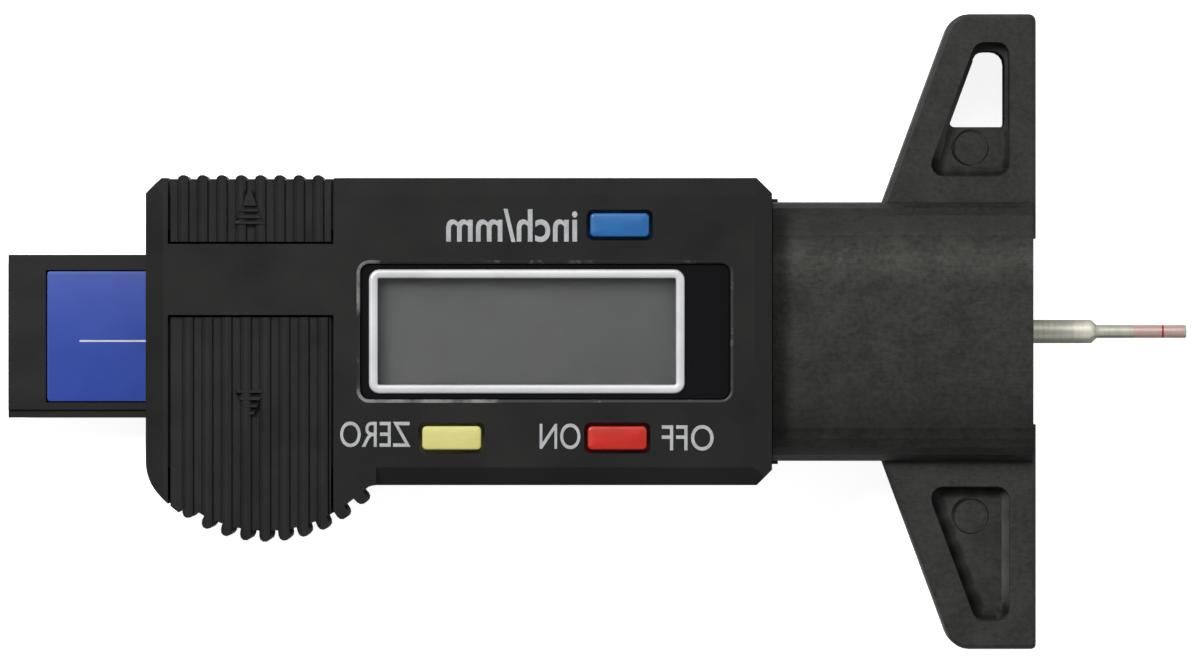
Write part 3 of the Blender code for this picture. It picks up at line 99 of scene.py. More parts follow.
def surface(name, points, finish, body, capped=False, sharp=35, stands=(), marks=None):
    # points[i, j] is the place at step i of the profile and step j of the path, which closes on itself;
    # quads join neighbours, and caps close the first and the last row
    rows, columns = points.shape[:2]
    i = np.arange(rows - 1)[:, None]
    j = np.arange(columns)[None, :]
    after = (j + 1) % columns
    quads = np.stack([i * columns + j, i * columns + after,
                      (i + 1) * columns + after, (i + 1) * columns + j], -1).reshape(-1, 4)
    faces = quads.tolist()
    if capped:
        faces += [j[0, ::-1].tolist(), (j[0] + (rows - 1) * columns).tolist()]
    mesh = bpy.data.meshes.new(name)
    mesh.from_pydata(points.reshape(-1, 3).tolist(), [], faces)
    if marks is not None:
        toneShift = mesh.attributes.new("toneShift", "FLOAT", "POINT")
        toneShift.data.foreach_set("value", marks.ravel().astype(np.float32))
    shape = bmesh.new()
    shape.from_mesh(mesh)
    bmesh.ops.remove_doubles(shape, verts=shape.verts, dist=0.2e-6)
    bmesh.ops.dissolve_degenerate(shape, edges=shape.edges, dist=0.1e-6)
    if capped:
        bmesh.ops.recalc_face_normals(shape, faces=shape.faces)
    shape.to_mesh(mesh)
    shape.free()
    return placed(name, mesh, finish, body, sharp, stands)


def placed(name, mesh, finish, body, sharp=35, stands=()):
    mesh.shade_smooth()
    mesh.set_sharp_from_angle(angle=math.radians(sharp))
    mesh.materials.append(finish)
    piece = bpy.data.objects.new(name, mesh)
    inScene.link(piece)
    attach(piece, body)
    if stands:
        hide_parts(*stands)
    return piece


def stackedLoops(middle, halfX, halfY, radius, height, steps=8):
    # rounded rectangles one above the other: corner centre plus radius times (cos, sin) of the angle
    halfX, halfY, radius, height = (np.asarray(v, float)[:, None, None]
                                    for v in (halfX, halfY, radius, height))
    angle = math.pi / 2 * (np.arange(4)[None, :, None] + np.linspace(0, 1, steps)[None, None, :])
    x = (halfX - radius) * np.array([1, -1, -1, 1])[None, :, None] + radius * np.cos(angle)
    y = (halfY - radius) * np.array([1, 1, -1, -1])[None, :, None] + radius * np.sin(angle)
    z = height + 0 * angle
    return np.stack([middle[0] + x, middle[1] + y, z], -1).reshape(len(halfX), -1, 3)


def fullTurn(steps):
    return np.linspace(0, 2 * math.pi, steps, endpoint=False)[None, :]


def allRound(values, angle):
    # a value for each row, the same all the way round
    return np.asarray(values)[:, None] + 0 * angle


def turnedZ(middle, radius, height, angle):
    # radius and height carried round an upright axis
    return np.stack([middle[0] + radius * np.cos(angle), middle[1] + radius * np.sin(angle),
                     height + 0 * angle], -1)


def turnedX(along, radius, axisY, axisZ):
    # radius along X, carried round the probe's axis
    angle = fullTurn(40)
    along, radius = (np.asarray(v, float)[:, None] for v in (along, radius))
    return np.stack([along + 0 * angle, axisY + radius * np.cos(angle), axisZ + radius * np.sin(angle)], -1)


def roundOver(start, end, steps=5):
    # a quarter of an ellipse: it leaves start upwards and reaches end level
    turn = np.linspace(0, math.pi / 2, steps)
    return np.stack([end[0] + (start[0] - end[0]) * np.cos(turn),
                     start[1] + (end[1] - start[1]) * np.sin(turn)], -1)


def crossDip(x, y, halfWidth, reach, blend):
    # 1 inside a cross with arms of that half width and reach, falling to 0 over the blend
    arm = np.minimum(np.abs(x), np.abs(y))
    away = np.maximum(np.abs(x), np.abs(y))
    return np.clip((halfWidth - arm) / blend, 0, 1) * np.clip((reach - away) / blend, 0, 1)


# Finishes

def startFinish(name):
    made = bpy.data.materials.new(name)
    made.use_nodes = True
    tree = made.node_tree
    return made, tree, tree.nodes.new("ShaderNodeTexCoord").outputs["Object"]


def noise(tree, place, size, detail=3.0, stretch=(1, 1, 1)):
    # clouds of that size in metres, drawn out along an axis by a stretch above 1
    mapping = tree.nodes.new("ShaderNodeMapping")
    mapping.inputs["Scale"].default_value = [1 / (size * s) for s in stretch]
    node = tree.nodes.new("ShaderNodeTexNoise")
    node.inputs["Scale"].default_value = 1.0
    node.inputs["Detail"].default_value = detail
    tree.links.new(place, mapping.inputs["Vector"])
    tree.links.new(mapping.outputs["Vector"], node.inputs["Vector"])
    return node.outputs[0]


def maths(tree, operation, first, second=0.0, clamp=False):
    node = tree.nodes.new("ShaderNodeMath")
    node.operation = operation
    node.use_clamp = clamp
    for socket, value in zip(node.inputs, (first, second)):
        if isinstance(value, (int, float)):
            socket.default_value = value
        else:
            tree.links.new(value, socket)
    return node.outputs[0]


def weighted(tree, *parts):
    # the sum of each value times its weight
    total = 0.0
    for value, weight in parts:
        total = maths(tree, "ADD", maths(tree, "MULTIPLY", value, weight), total)
    return total


def awayFrom(tree, place, x, y):
    # distance from the upright line through x and y
    flat = tree.nodes.new("ShaderNodeVectorMath")
    flat.operation = "MULTIPLY"
    flat.inputs[1].default_value = (1, 1, 0)
    tree.links.new(place, flat.inputs[0])
    away = tree.nodes.new("ShaderNodeVectorMath")
    away.operation = "DISTANCE"
    away.inputs[1].default_value = (x, y, 0)
    tree.links.new(flat.outputs["Vector"], away.inputs[0])
    return away.outputs["Value"]


def spread(tree, value, lowest, highest, start=0.3, end=0.7):
    node = tree.nodes.new("ShaderNodeMapRange")
    node.inputs["From Min"].default_value = start
    node.inputs["From Max"].default_value = end
    node.inputs["To Min"].default_value = lowest
    node.inputs["To Max"].default_value = highest
    tree.links.new(value, node.inputs["Value"])
    return node.outputs[0]


def tones(tree, value, stops):
    # a colour for each stop of the value
    node = tree.nodes.new("ShaderNodeValToRGB")
    ramp = node.color_ramp
    while len(ramp.elements) < len(stops):
        ramp.elements.new(0.5)
    for element, (position, colour) in zip(ramp.elements, stops):
        element.position = position
        element.color = (*colour, 1.0)
    tree.links.new(value, node.inputs[0])
    return node.outputs[0]


def between(tree, value, start, end, colours):
    return tones(tree, value, [(start, colours[0]), (end, colours[1])])


def blended(tree, factor, first, second):
    node = tree.nodes.new("ShaderNodeMix")
    node.data_type = "RGBA"
    for socket, value in ((node.inputs[0], factor), (node.inputs[6], first), (node.inputs[7], second)):
        if isinstance(value, tuple):
            socket.default_value = (*value, 1.0)
        elif isinstance(value, (int, float)):
            socket.default_value = value
        else:
            tree.links.new(value, socket)
    return node.outputs[2]


def shaded(tree, colour, factor):
    # the colour made darker or lighter by that factor
    node = tree.nodes.new("ShaderNodeVectorMath")
    node.operation = "MULTIPLY"
    tree.links.new(colour, node.inputs[0])
    tree.links.new(factor, node.inputs[1])
    return node.outputs["Vector"]


def axes(tree, place):
    parts = tree.nodes.new("ShaderNodeSeparateXYZ")
    tree.links.new(place, parts.inputs[0])
    return parts.outputs


constantSockets = {
    "metallic": "Metallic", "specular": "Specular IOR Level", "coat": "Coat Weight",
    "coatRoughness": "Coat Roughness",
}


def finished(made, look, colour, gloss, height=None):
    # the colour; the look's roughness, which follows the gloss; its relief, which follows the height;
    # and its constants
    tree = made.node_tree
    shader = tree.nodes["Principled BSDF"]
    tree.links.new(colour, shader.inputs["Base Color"])
    tree.links.new(spread(tree, gloss, *look["roughness"]), shader.inputs["Roughness"])
    if height is not None:
        node = tree.nodes.new("ShaderNodeBump")
        node.inputs["Strength"].default_value = 1.0
        node.inputs["Distance"].default_value = look.get("depth", 0.004 * mm)
        tree.links.new(height, node.inputs["Height"])
        tree.links.new(node.outputs["Normal"], shader.inputs["Normal"])
    for name, socket in constantSockets.items():
        if name in look:
            shader.inputs[socket].default_value = look[name]
    return made


def twoTone(name, look):
    # two tones mixed by patches and speckle, roughness that follows the patches, a fine grain in relief
    made, tree, place = startFinish(name)
    stretch = look.get("stretch", (1, 1, 1))
    patches = noise(tree, place, look["patch"], 4.0, stretch)
    grain = noise(tree, place, look["grain"], 2.0, stretch)
    share = look.get("speckle", 0.35)
    tone = weighted(tree, (patches, 1 - share), (grain, share))
    paint = between(tree, tone, 0.36, 0.64, look["tones"])
    return finished(made, look, paint, patches, grain)


plainLooks = {
    "casePlastic": {
        "tones": ((0.0080, 0.0080, 0.0076), (0.0130, 0.0129, 0.0120)),
        "patch": 6 * mm, "grain": 0.10 * mm, "speckle": 0.45,
        "roughness": (0.40, 0.50), "depth": 0.006 * mm, "specular": 0.26,
    },
    "coverPlastic": {
        "tones": ((0.0110, 0.0110, 0.0107), (0.0170, 0.0170, 0.0161)),
        "patch": 4 * mm, "grain": 0.12 * mm, "speckle": 0.4,
        "roughness": (0.38, 0.48), "depth": 0.007 * mm, "specular": 0.26,
    },
    "slidePlastic": {
        "tones": ((0.0110, 0.0110, 0.0107), (0.0170, 0.0170, 0.0163)),
        "patch": 5 * mm, "grain": 0.10 * mm, "stretch": (3, 1, 1),
        "roughness": (0.40, 0.52), "depth": 0.006 * mm, "specular": 0.26,
    },
    "frameSilver": {
        "tones": ((0.65, 0.65, 0.66), (0.76, 0.76, 0.77)),
        "patch": 3 * mm, "grain": 0.06 * mm, "stretch": (2, 1, 1),
        "roughness": (0.30, 0.38), "depth": 0.002 * mm, "metallic": 0.15,
    },
    "letterInk": {
        "tones": ((0.36, 0.37, 0.38), (0.50, 0.51, 0.52)),
        "patch": 0.9 * mm, "grain": 0.07 * mm, "speckle": 0.5,
        "roughness": (0.42, 0.52), "depth": 0.002 * mm,
    },
    "dividerInk": {
        "tones": ((0.62, 0.64, 0.70), (0.78, 0.79, 0.82)),
        "patch": 0.9 * mm, "grain": 0.07 * mm, "roughness": (0.45, 0.55), "depth": 0.002 * mm,
    },
    "screwSteel": {
        "tones": ((0.40, 0.39, 0.37), (0.55, 0.54, 0.52)),
        "patch": 2.5 * mm, "grain": 0.05 * mm, "roughness": (0.24, 0.34), "depth": 0.002 * mm,
        "metallic": 1.0,
    },
    "springBronze": {
        "tones": ((0.55, 0.36, 0.16), (0.72, 0.50, 0.26)),
        "patch": 2 * mm, "grain": 0.06 * mm, "roughness": (0.25, 0.38), "depth": 0.002 * mm, "metallic": 1.0,
    },
    "pinGold": {
        "tones": ((0.70, 0.46, 0.14), (0.85, 0.60, 0.24)),
        "patch": 1 * mm, "grain": 0.05 * mm, "roughness": (0.2, 0.3), "depth": 0.001 * mm, "metallic": 1.0,
    },
    "holderWhite": {
        "tones": ((0.60, 0.60, 0.57), (0.72, 0.72, 0.68)),
        "patch": 5 * mm, "grain": 0.1 * mm, "roughness": (0.45, 0.55),
    },
    "padRubber": {
        "tones": ((0.16, 0.15, 0.16), (0.24, 0.22, 0.24)),
        "patch": 2 * mm, "grain": 0.08 * mm, "roughness": (0.65, 0.8),
    },
    "chipEpoxy": {
        "tones": ((0.008, 0.008, 0.008), (0.016, 0.016, 0.016)),
        "patch": 2 * mm, "grain": 0.06 * mm, "roughness": (0.22, 0.34),
    },
    "socketIvory": {
        "tones": ((0.55, 0.53, 0.46), (0.66, 0.64, 0.57)),
        "patch": 2 * mm, "grain": 0.08 * mm, "roughness": (0.4, 0.5),
    },
}
plain = {name: twoTone(name, look) for name, look in plainLooks.items()}


footLook = {
    "wing": ((0.019, 0.0185, 0.0174), (0.035, 0.0343, 0.0325)),
    "neck": ((0.017, 0.0166, 0.0148), (0.037, 0.0362, 0.0322)),
    "neckHalf": (10.2 * mm, 11.4 * mm),   # the neck's tones, with their painted light and shade, end here, either side of the middle
    # how light the neck is painted at each y: painted shade near its lower edge, a painted highlight band
    # near its upper edge
    "neckPaintedLight": ((-10.5 * mm, 0.80), (-8.2 * mm, 0.36), (-4.8 * mm, 0.82), (3.5 * mm, 1.15), (6.3 * mm, 1.95),
             (8.6 * mm, 0.72)),
    "mottle": 0.42 * mm,
    "cloud": 3.0 * mm,
    "rub": (0.9 * mm, 0.16 * mm),         # length and width of the rub marks
    "grain": 0.11 * mm,
    "depth": 0.010 * mm,
    "roughness": (0.48, 0.64),
    "specular": 0.25,
}


def footPlastic(look):
    # matte glass-filled nylon: cloudy and mottled, with fine rub marks; across the neck, painted light and
    # shade: darker near its lower edge, a highlight band near its upper edge
    made, tree, place = startFinish("footPlastic")
    y = axes(tree, place)["Y"]
    side = maths(tree, "ABSOLUTE", y)
    onWing = spread(tree, side, 0.0, 1.0, *look["neckHalf"])
    cloud = noise(tree, place, look["cloud"])
    mottle = noise(tree, place, look["mottle"], 4.0)
    grain = noise(tree, place, look["grain"], 2.0)
    long, thin = look["rub"]
    rub = noise(tree, place, thin, 2.0, (long / thin, 1, 1))
    tone = weighted(tree, (cloud, 0.40), (mottle, 0.40), (rub, 0.20))
    wing = between(tree, tone, 0.40, 0.60, look["wing"])
    neck = between(tree, tone, 0.40, 0.62, look["neck"])
    reach = look["neckHalf"][1]
    along = spread(tree, y, 0.0, 1.0, -reach, reach)
    # painted light and shade across the neck, as a factor on its tones
    neckPaintedLight = tones(tree, along, [((at / reach + 1) / 2, (light / 2,) * 3) for at, light in look["neckPaintedLight"]])
    neck = shaded(tree, neck, maths(tree, "MULTIPLY", neckPaintedLight, 2.0))
    height = weighted(tree, (mottle, 0.6), (grain, 0.8))
    return finished(made, look, blended(tree, onWing, neck, wing), mottle, height)


windowLook = {
    "tones": ((0.0022, 0.0022, 0.0026), (0.0066, 0.0066, 0.0078)),
    "smear": 7 * mm, "dust": 0.12 * mm, "roughness": (0.06, 0.16),
}


def windowAcrylic(look):
    # polished black acrylic with faint smears in its gloss
    made, tree, place = startFinish("windowAcrylic")
    smear = noise(tree, place, look["smear"], 4.0, (2, 1, 1))
    dust = noise(tree, place, look["dust"], 2.0)
    base = between(tree, dust, 0.40, 0.78, look["tones"])
    return finished(made, look, base, smear, smear)


lensLook = {"colour": (0.93, 0.94, 0.94), "smear": 5 * mm, "roughness": (0.01, 0.05)}


def lensClear(look):
    # clear acrylic, a little smeared
    made, tree, place = startFinish("lensClear")
    shader = tree.nodes["Principled BSDF"]
    smear = noise(tree, place, look["smear"], 4.0)
    tree.links.new(spread(tree, smear, *look["roughness"]), shader.inputs["Roughness"])
    shader.inputs["Base Color"].default_value = (*look["colour"], 1.0)
    shader.inputs["Transmission Weight"].default_value = 1.0
    shader.inputs["IOR"].default_value = 1.49
    return made


cellLook = {
    # painted light: the film's tone far from the display's upper left corner, and near it, where it is
    # painted lighter
    "tones": ((0.175, 0.177, 0.176), (0.235, 0.237, 0.236)),
    "warm": (0.215, 0.196, 0.198),    # faint blotches in the film
    "blush": 3.2 * mm,
    "mesh": 0.16 * mm,
    "roughness": (0.30, 0.42),
}


def cellGlass(look):
    # switched-off liquid crystal: grey film with a fine reflector grain, and painted light: lighter towards
    # the upper left corner
    made, tree, place = startFinish("cellGlass")
    low, high = boxOf("lcd_cell")[:2]
    parts = axes(tree, place)
    # painted light: the film is painted lighter towards the left and towards the top
    across = spread(tree, parts["X"], 1.0, 0.0, low[0], high[0])
    up = spread(tree, parts["Y"], 0.0, 0.6, low[1], high[1])
    grain = noise(tree, place, look["mesh"], 2.0)
    tone = weighted(tree, (across, 0.55), (up, 0.55), (grain, 0.15))
    paintedShading = between(tree, tone, 0.05, 0.95, look["tones"])
    blush = noise(tree, place, look["blush"])
    share = spread(tree, blush, 0.0, 0.9, 0.45, 0.70)
    return finished(made, look, blended(tree, share, paintedShading, look["warm"]), grain)


keyTones = {
    "unit": ((0.014, 0.118, 0.350), (0.022, 0.155, 0.420)),
    "power": ((0.480, 0.016, 0.009), (0.600, 0.024, 0.014)),
    "zero": ((0.630, 0.590, 0.190), (0.730, 0.690, 0.250)),
}
keyLook = {
    "flow": 1.4 * mm, "grain": 0.07 * mm, "roughness": (0.30, 0.42), "depth": 0.002 * mm,
    "coat": 0.12, "coatRoughness": 0.2,
}


def keyPlastic(name, colours, look):
    # coloured plastic with a satin top and soft mould flow
    made, tree, place = startFinish(name)
    flow = noise(tree, place, look["flow"], 3.0, (2.5, 1, 1))
    grain = noise(tree, place, look["grain"], 2.0)
    return finished(made, look, between(tree, flow, 0.3, 0.7, colours), grain, grain)


labelLook = {
    "tones": ((0.029, 0.068, 0.378), (0.034, 0.077, 0.415)),
    "patch": 3.5 * mm, "grain": 0.09 * mm, "roughness": (0.36, 0.42), "depth": 0.002 * mm,
    "coat": 0.06, "coatRoughness": 0.3,
}


def labelFilm(look):
    # blue printed film under a satin laminate, its ink a little uneven
    made, tree, place = startFinish("labelFilm")
    uneven = noise(tree, place, look["patch"])
    grain = noise(tree, place, look["grain"], 2.0)
    tone = weighted(tree, (uneven, 0.7), (grain, 0.3))
    ink = between(tree, tone, 0.35, 0.65, look["tones"])
    return finished(made, look, ink, uneven, grain)


probeLook = {
    # painted light: the shank is painted lighter than the thin steel, against the shade that the neck casts
    # on it
    "shank": ((0.740, 0.720, 0.600), (0.940, 0.920, 0.790)),
    "steel": ((0.470, 0.458, 0.372), (0.610, 0.596, 0.490)),
    "shankEnd": fromPixels(1096, 0)[0],
    # painted shade: how light the steel is painted across the probe, from its lower flank to its upper one
    "paintedShading": ((0.0, 0.45), (0.14, 0.50), (0.26, 1.0), (0.80, 1.0), (0.93, 0.70), (1.0, 0.60)),
    "tint": (0.640, 0.300, 0.300),
    "tintFrom": fromPixels(1135.5, 0)[0],
    "tintTo": fromPixels(1186, 0)[0],
    "ring": (0.32, 0.012, 0.012),
    "ringAt": fromPixels(1165, 0)[0],
    "ringHalf": 0.08 * mm,
    "turning": 0.35 * mm, "patch": 1.5 * mm,
    "roughness": (0.40, 0.50), "depth": 0.0004 * mm, "metallic": 0.4,
}
probeSizes = {
    "tipLength": 7.6 * mm, "tipRadius": 0.56 * mm, "cone": 0.6 * mm, "chamfer": 0.1 * mm, "round": 0.16 * mm,
}


def probeSteel(look):
    # satin ground steel with soft turning marks; a pink tint near the tip and one thin red ring; painted
    # shade on both flanks, most on the lower one, and the shank painted lighter than the thin steel
    made, tree, place = startFinish("probeSteel")
    parts = axes(tree, place)
    along = parts["X"]
    marks = noise(tree, place, look["turning"], 1.0, (1, 8, 8))
    patch = noise(tree, place, look["patch"])
    tone = weighted(tree, (marks, 0.5), (patch, 0.5))
    shank = between(tree, tone, 0.35, 0.65, look["shank"])
    thin = between(tree, tone, 0.35, 0.65, look["steel"])
    # the shank painted lighter than the thin steel, as painted light
    steel = blended(tree, maths(tree, "GREATER_THAN", along, look["shankEnd"]), shank, thin)
    middle, half = boxOf("probe")[2:]
    radius = float(half[1])
    aside = maths(tree, "SUBTRACT", parts["Y"], float(middle[1]))
    end = look["shankEnd"]
    narrowing = spread(tree, along, 1.0, probeSizes["tipRadius"] / radius, end - 0.5 * mm, end)
    across = maths(tree, "DIVIDE", maths(tree, "DIVIDE", aside, radius), narrowing)
    across = spread(tree, across, 0.0, 1.0, -1.0, 1.0)
    # painted shade across the probe: darker on both flanks, most on the lower one
    paintedShading = tones(tree, across, [(y, (light,) * 3) for y, light in look["paintedShading"]])
    steel = shaded(tree, steel, paintedShading)
    inside = maths(tree, "MULTIPLY", maths(tree, "GREATER_THAN", along, look["tintFrom"]),
                   maths(tree, "LESS_THAN", along, look["tintTo"]))
    inside = maths(tree, "MULTIPLY", inside, spread(tree, patch, 0.35, 0.6))
    tinted = blended(tree, inside, steel, look["tint"])
    away = maths(tree, "ABSOLUTE", maths(tree, "SUBTRACT", along, look["ringAt"]))
    onRing = maths(tree, "LESS_THAN", away, look["ringHalf"])
    return finished(made, look, blended(tree, onRing, tinted, look["ring"]), marks, marks)


boardLook = {
    "tones": ((0.012, 0.085, 0.035), (0.035, 0.160, 0.070)),
    "track": 1.1 * mm, "patch": 3 * mm, "roughness": (0.25, 0.38), "depth": 0.02 * mm,
}


def boardMask(look):
    # green solder mask, lighter over copper tracks that run in both directions
    made, tree, place = startFinish("boardMask")
    tracks = tree.nodes.new("ShaderNodeTexBrick")
    tracks.inputs["Scale"].default_value = 1.0
    tracks.inputs["Brick Width"].default_value = 4 * look["track"]
    tracks.inputs["Row Height"].default_value = look["track"]
    tracks.inputs["Mortar Size"].default_value = look["track"] / 5
    tree.links.new(place, tracks.inputs["Vector"])
    onTrack = tracks.outputs["Fac"]
    paint = between(tree, onTrack, 0.2, 0.8, look["tones"])
    return finished(made, look, paint, noise(tree, place, look["patch"]), onTrack)


canLook = {
    "tones": ((0.50, 0.49, 0.46), (0.66, 0.65, 0.61)), "patch": 2 * mm, "ring": 0.08 * mm,
    "roughness": (0.22, 0.34, -1.0, 1.0), "depth": 0.001 * mm, "metallic": 1.0,
}


def cellCan(look, middle):
    # nickel-plated can with fine rings from its forming
    made, tree, place = startFinish("cellCan")
    away = awayFrom(tree, place, middle[0], middle[1])
    rings = maths(tree, "SINE", maths(tree, "MULTIPLY", away, 2 * math.pi / look["ring"]))
    patch = noise(tree, place, look["patch"], 4.0)
    return finished(made, look, between(tree, patch, 0.3, 0.7, look["tones"]), rings, rings)


footNylon = footPlastic(footLook)
blackWindow = windowAcrylic(windowLook)
clearLens = lensClear(lensLook)
greyCell = cellGlass(cellLook)
blueFilm = labelFilm(labelLook)
groundSteel = probeSteel(probeLook)
greenBoard = boardMask(boardLook)
print("finishes made")

# Finishes of the nodes that are kept as they are
kept = (
    (footNylon, ("foot",)),
    (plain["casePlastic"], ("front_case", "back_case")),
    (plain["coverPlastic"], ("battery_cover", "port_cover")),
    (plain["slidePlastic"], ("slide_bar",)),
    (clearLens, ("display_lens",)),
    (greyCell, ("lcd_cell",)),
    (plain["holderWhite"], ("lcd_holder",)),
    (plain["padRubber"], ("upper_contact_strip", "lower_contact_strip")),
    (greenBoard, ("circuit_board", "scale_strip")),
    (plain["chipEpoxy"], ("chip_cap",)),
    (plain["springBronze"], ("negative_contact", "positive_contact", "slide_gib")),
    (plain["socketIvory"], ("data_socket",)),
    (plain["pinGold"], ("data_contact_1", "data_contact_2", "data_contact_3", "data_contact_4")),
)
for finish, names in kept:
    for name in names:
        node = frame["nodes"][name]
        node.data.materials.clear()
        node.data.materials.append(finish)
print("kept nodes finished:", sum(len(names) for finish, names in kept))


# Display window: black plate, silver frame
windowSizes = {"edge": 0.14 * mm, "corner": 1.0 * mm, "aroundLens": 0.1 * mm, "openingCorner": 0.02 * mm}
frameSizes = {"corner": 0.9 * mm, "innerCorner": 0.12 * mm, "bar": 0.75 * mm, "foot": 0.03 * mm}


def blackPlate(sizes):
    # the profile runs up the outside, over a rounded edge, across the top and down the opening;
    # each row is a rounded rectangle between the plate's outline and the opening
    low, high = boxOf("display_bezel")[:2]
    openLow, openHigh = boxOf("display_lens")[:2]
    openLow, openHigh = openLow - sizes["aroundLens"], openHigh + sizes["aroundLens"]
    edge = sizes["edge"]
    over = roundOver((0, high[2] - edge), (edge, high[2]))
    inset = np.r_[0.0, over[:, 0]]
    lows = np.concatenate([[openLow[:2]], low[:2] + inset[:, None], [openLow[:2]] * 2])
    highs = np.concatenate([[openHigh[:2]], high[:2] - inset[:, None], [openHigh[:2]] * 2])
    heights = np.r_[low[2], low[2], over[:, 1], high[2], low[2]]
    small = sizes["openingCorner"]
    corner = np.r_[small, sizes["corner"] - inset, small, small]
    half = (highs - lows) / 2
    loops = stackedLoops((0, 0), half[:, 0], half[:, 1], corner, heights)
    loops[:, :, :2] += (lows + half)[:, None, :]
    return surface("windowPlate", loops, blackWindow, "gauge", stands=["display_bezel"])


def silverFrame(sizes):
    # half an ellipse across the bar, carried round a rounded rectangle
    low, high, middle, half = boxOf("display_frame")
    turn = np.linspace(0, math.pi, 11)
    inset = sizes["bar"] / 2 * (1 - np.cos(turn))
    lift = low[2] + sizes["foot"] + (high[2] - low[2] - sizes["foot"]) * np.sin(turn) ** 0.6
    inset = np.r_[sizes["bar"], 0.0, inset, sizes["bar"]]
    lift = np.r_[low[2], low[2], lift, low[2]]
    corner = np.maximum(sizes["corner"] - inset, sizes["innerCorner"])
    loops = stackedLoops(middle, half[0] - inset, half[1] - inset, corner, lift, 10)
    return surface("displayFrame", loops, plain["frameSilver"], "gauge", stands=["display_frame"], sharp=50)


rimSizes = {
    "corner": 1.05 * mm, "width": 0.26 * mm, "drop": 0.14 * mm,
    "gap": 0.1 * mm,         # from the window plate to the recess's wall
    "bite": 0.03 * mm,       # sunk in that wall
    "proud": 0.012 * mm,
}
# painted highlights along the window recess's edge: light grey on black
rimLook = {
    "tones": ((0.010, 0.010, 0.010), (0.21, 0.21, 0.20)), "length": 1.8 * mm, "grain": 0.3 * mm,
    "roughness": (0.35, 0.5),
    "spotHighlight": 0.34,
    # pixels, and reach in mm
    "spots": ((366, 266, 3.0), (358, 300, 2.4), (362, 398, 2.4), (400, 403, 3.2), (440, 403, 3.0),
              (480, 403, 2.4)),
}


def rimFinish(look):
    # black, with painted highlights in light grey: most at the spots, elsewhere in short broken stretches
    made, tree, place = startFinish("windowRimPaintedHighlight")
    patch = noise(tree, place, look["length"], 4.0)
    fine = noise(tree, place, look["grain"], 2.0)
    near = 0.0
    for px, py, reach in look["spots"]:
        away = awayFrom(tree, place, *fromPixels(px, py))
        near = maths(tree, "MAXIMUM", spread(tree, away, look["spotHighlight"], 0.0, 0.0, reach * mm), near)
    # the share of painted highlight
    highlightShare = weighted(tree, (patch, 0.7), (fine, 0.3), (near, 1.0))
    paint = between(tree, highlightShare, 0.58, 0.86, look["tones"])
    return finished(made, look, paint, fine, fine)


def windowRim(sizes):
    # a quarter round along the recess's upper edge: in by its width, down by its drop
    middle, half = boxOf("display_bezel")[2:]
    half = half + sizes["gap"]
    turn = np.linspace(0, math.pi / 2, 6)
    bite, drop = sizes["bite"], sizes["drop"]
    crest = caseFace + sizes["proud"]
    inset = np.r_[-bite, -bite, sizes["width"] * np.sin(turn), -bite]
    lift = np.r_[caseFace - drop, crest, crest - drop * (1 - np.cos(turn)), caseFace - drop]
    corner = sizes["corner"] - inset
    loops = stackedLoops(middle, half[0] - inset, half[1] - inset, corner, lift)
    # its finish carries the painted highlights
    return surface("windowRim", loops, rimFinish(rimLook), "gauge", sharp=60)


blackPlate(windowSizes)
silverFrame(frameSizes)
windowRim(rimSizes)
print("display made")


# Buttons: stem, flange and a cap with a soft crown
keySizes = {
    "face": (5.0 * mm, 2.0 * mm), "corner": 0.38 * mm, "edge": 0.20 * mm, "crown": 0.06 * mm,
    "stem": 1.0 * mm, "flange": 0.8 * mm,
    "flangeTop": 1.9 * mm,    # below the case's face
    "lastRow": 0.08 * mm,     # half width of the crown's top row
}


def crownedKey(name, body, finish, sizes):
    # rows from the stem's end up to the crown; over the cap the height falls off with the square of the inset
    node = body.replace("_key", "_button")
    low, high, middle, half = boxOf(node)
    faceX, faceY = (v / 2 for v in sizes["face"])
    flangeHigh = caseFace - sizes["flangeTop"]
    flangeLow = flangeHigh - sizes["flange"]
    edge = sizes["edge"]
    over = roundOver((0, high[2] - sizes["crown"] - edge), (edge, high[2] - sizes["crown"]))
    share = np.linspace(0, 1, 6)[1:]
    inset = edge + share * (faceY - edge - sizes["lastRow"])
    crown = high[2] - sizes["crown"] * (1 - share) ** 2
    stem = sizes["stem"]
    x = np.r_[stem, stem, half[0], half[0], faceX, faceX - over[:, 0], faceX - inset]
    y = np.r_[stem, stem, half[1], half[1], faceY, faceY - over[:, 0], faceY - inset]
    bend = sizes["corner"]
    corner = np.r_[stem, stem, bend, bend, bend, np.maximum(bend - over[:, 0], 0.1 * mm),
                   np.linspace(bend - edge, 0.06 * mm, 5)]
    z = np.r_[low[2], flangeLow, flangeLow, flangeHigh, flangeHigh, over[:, 1], crown]
    loops = stackedLoops(middle, x, y, corner, z)
    return surface(name, loops, finish, body, capped=True, stands=[node])


# Rubber domes under the buttons' stems
domeSizes = {"wall": 0.36 * mm, "plateau": 0.5, "keep": 0.62}


def rubberDome(keyName, sizes):
    # radius and height of an S-shaped skirt between foot and plateau, carried round an upright axis;
    # the inside follows a wall's thickness away
    node = keyName + "_dome"
    low, high, middle, half = boxOf(node)
    radius, height = half[0], high[2] - low[2]
    wall = sizes["wall"]
    share = np.linspace(0, 1, 12)
    flank = share ** 2 * (3 - 2 * share)
    top = radius * sizes["plateau"]
    outerR = top + (radius - wall / 3 - top) * share
    outerZ = height - (height - wall) * flank
    innerR = (top - wall / 4) + (radius - wall - top + wall / 4) * share[::-1]
    innerZ = (height - wall) * (1 - flank[::-1])
    r = np.r_[0.02 * mm, top / 2, outerR, radius, radius, innerR, 0.02 * mm]
    z = np.r_[height, height, outerZ, wall / 2, 0.0, innerZ, height - wall]
    points = turnedZ(middle, r[:, None], low[2] + z[:, None], fullTurn(40))
    dome = surface(keyName + "Dome", points, plain["padRubber"], "gauge", capped=True, stands=[node])
    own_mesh(dome)


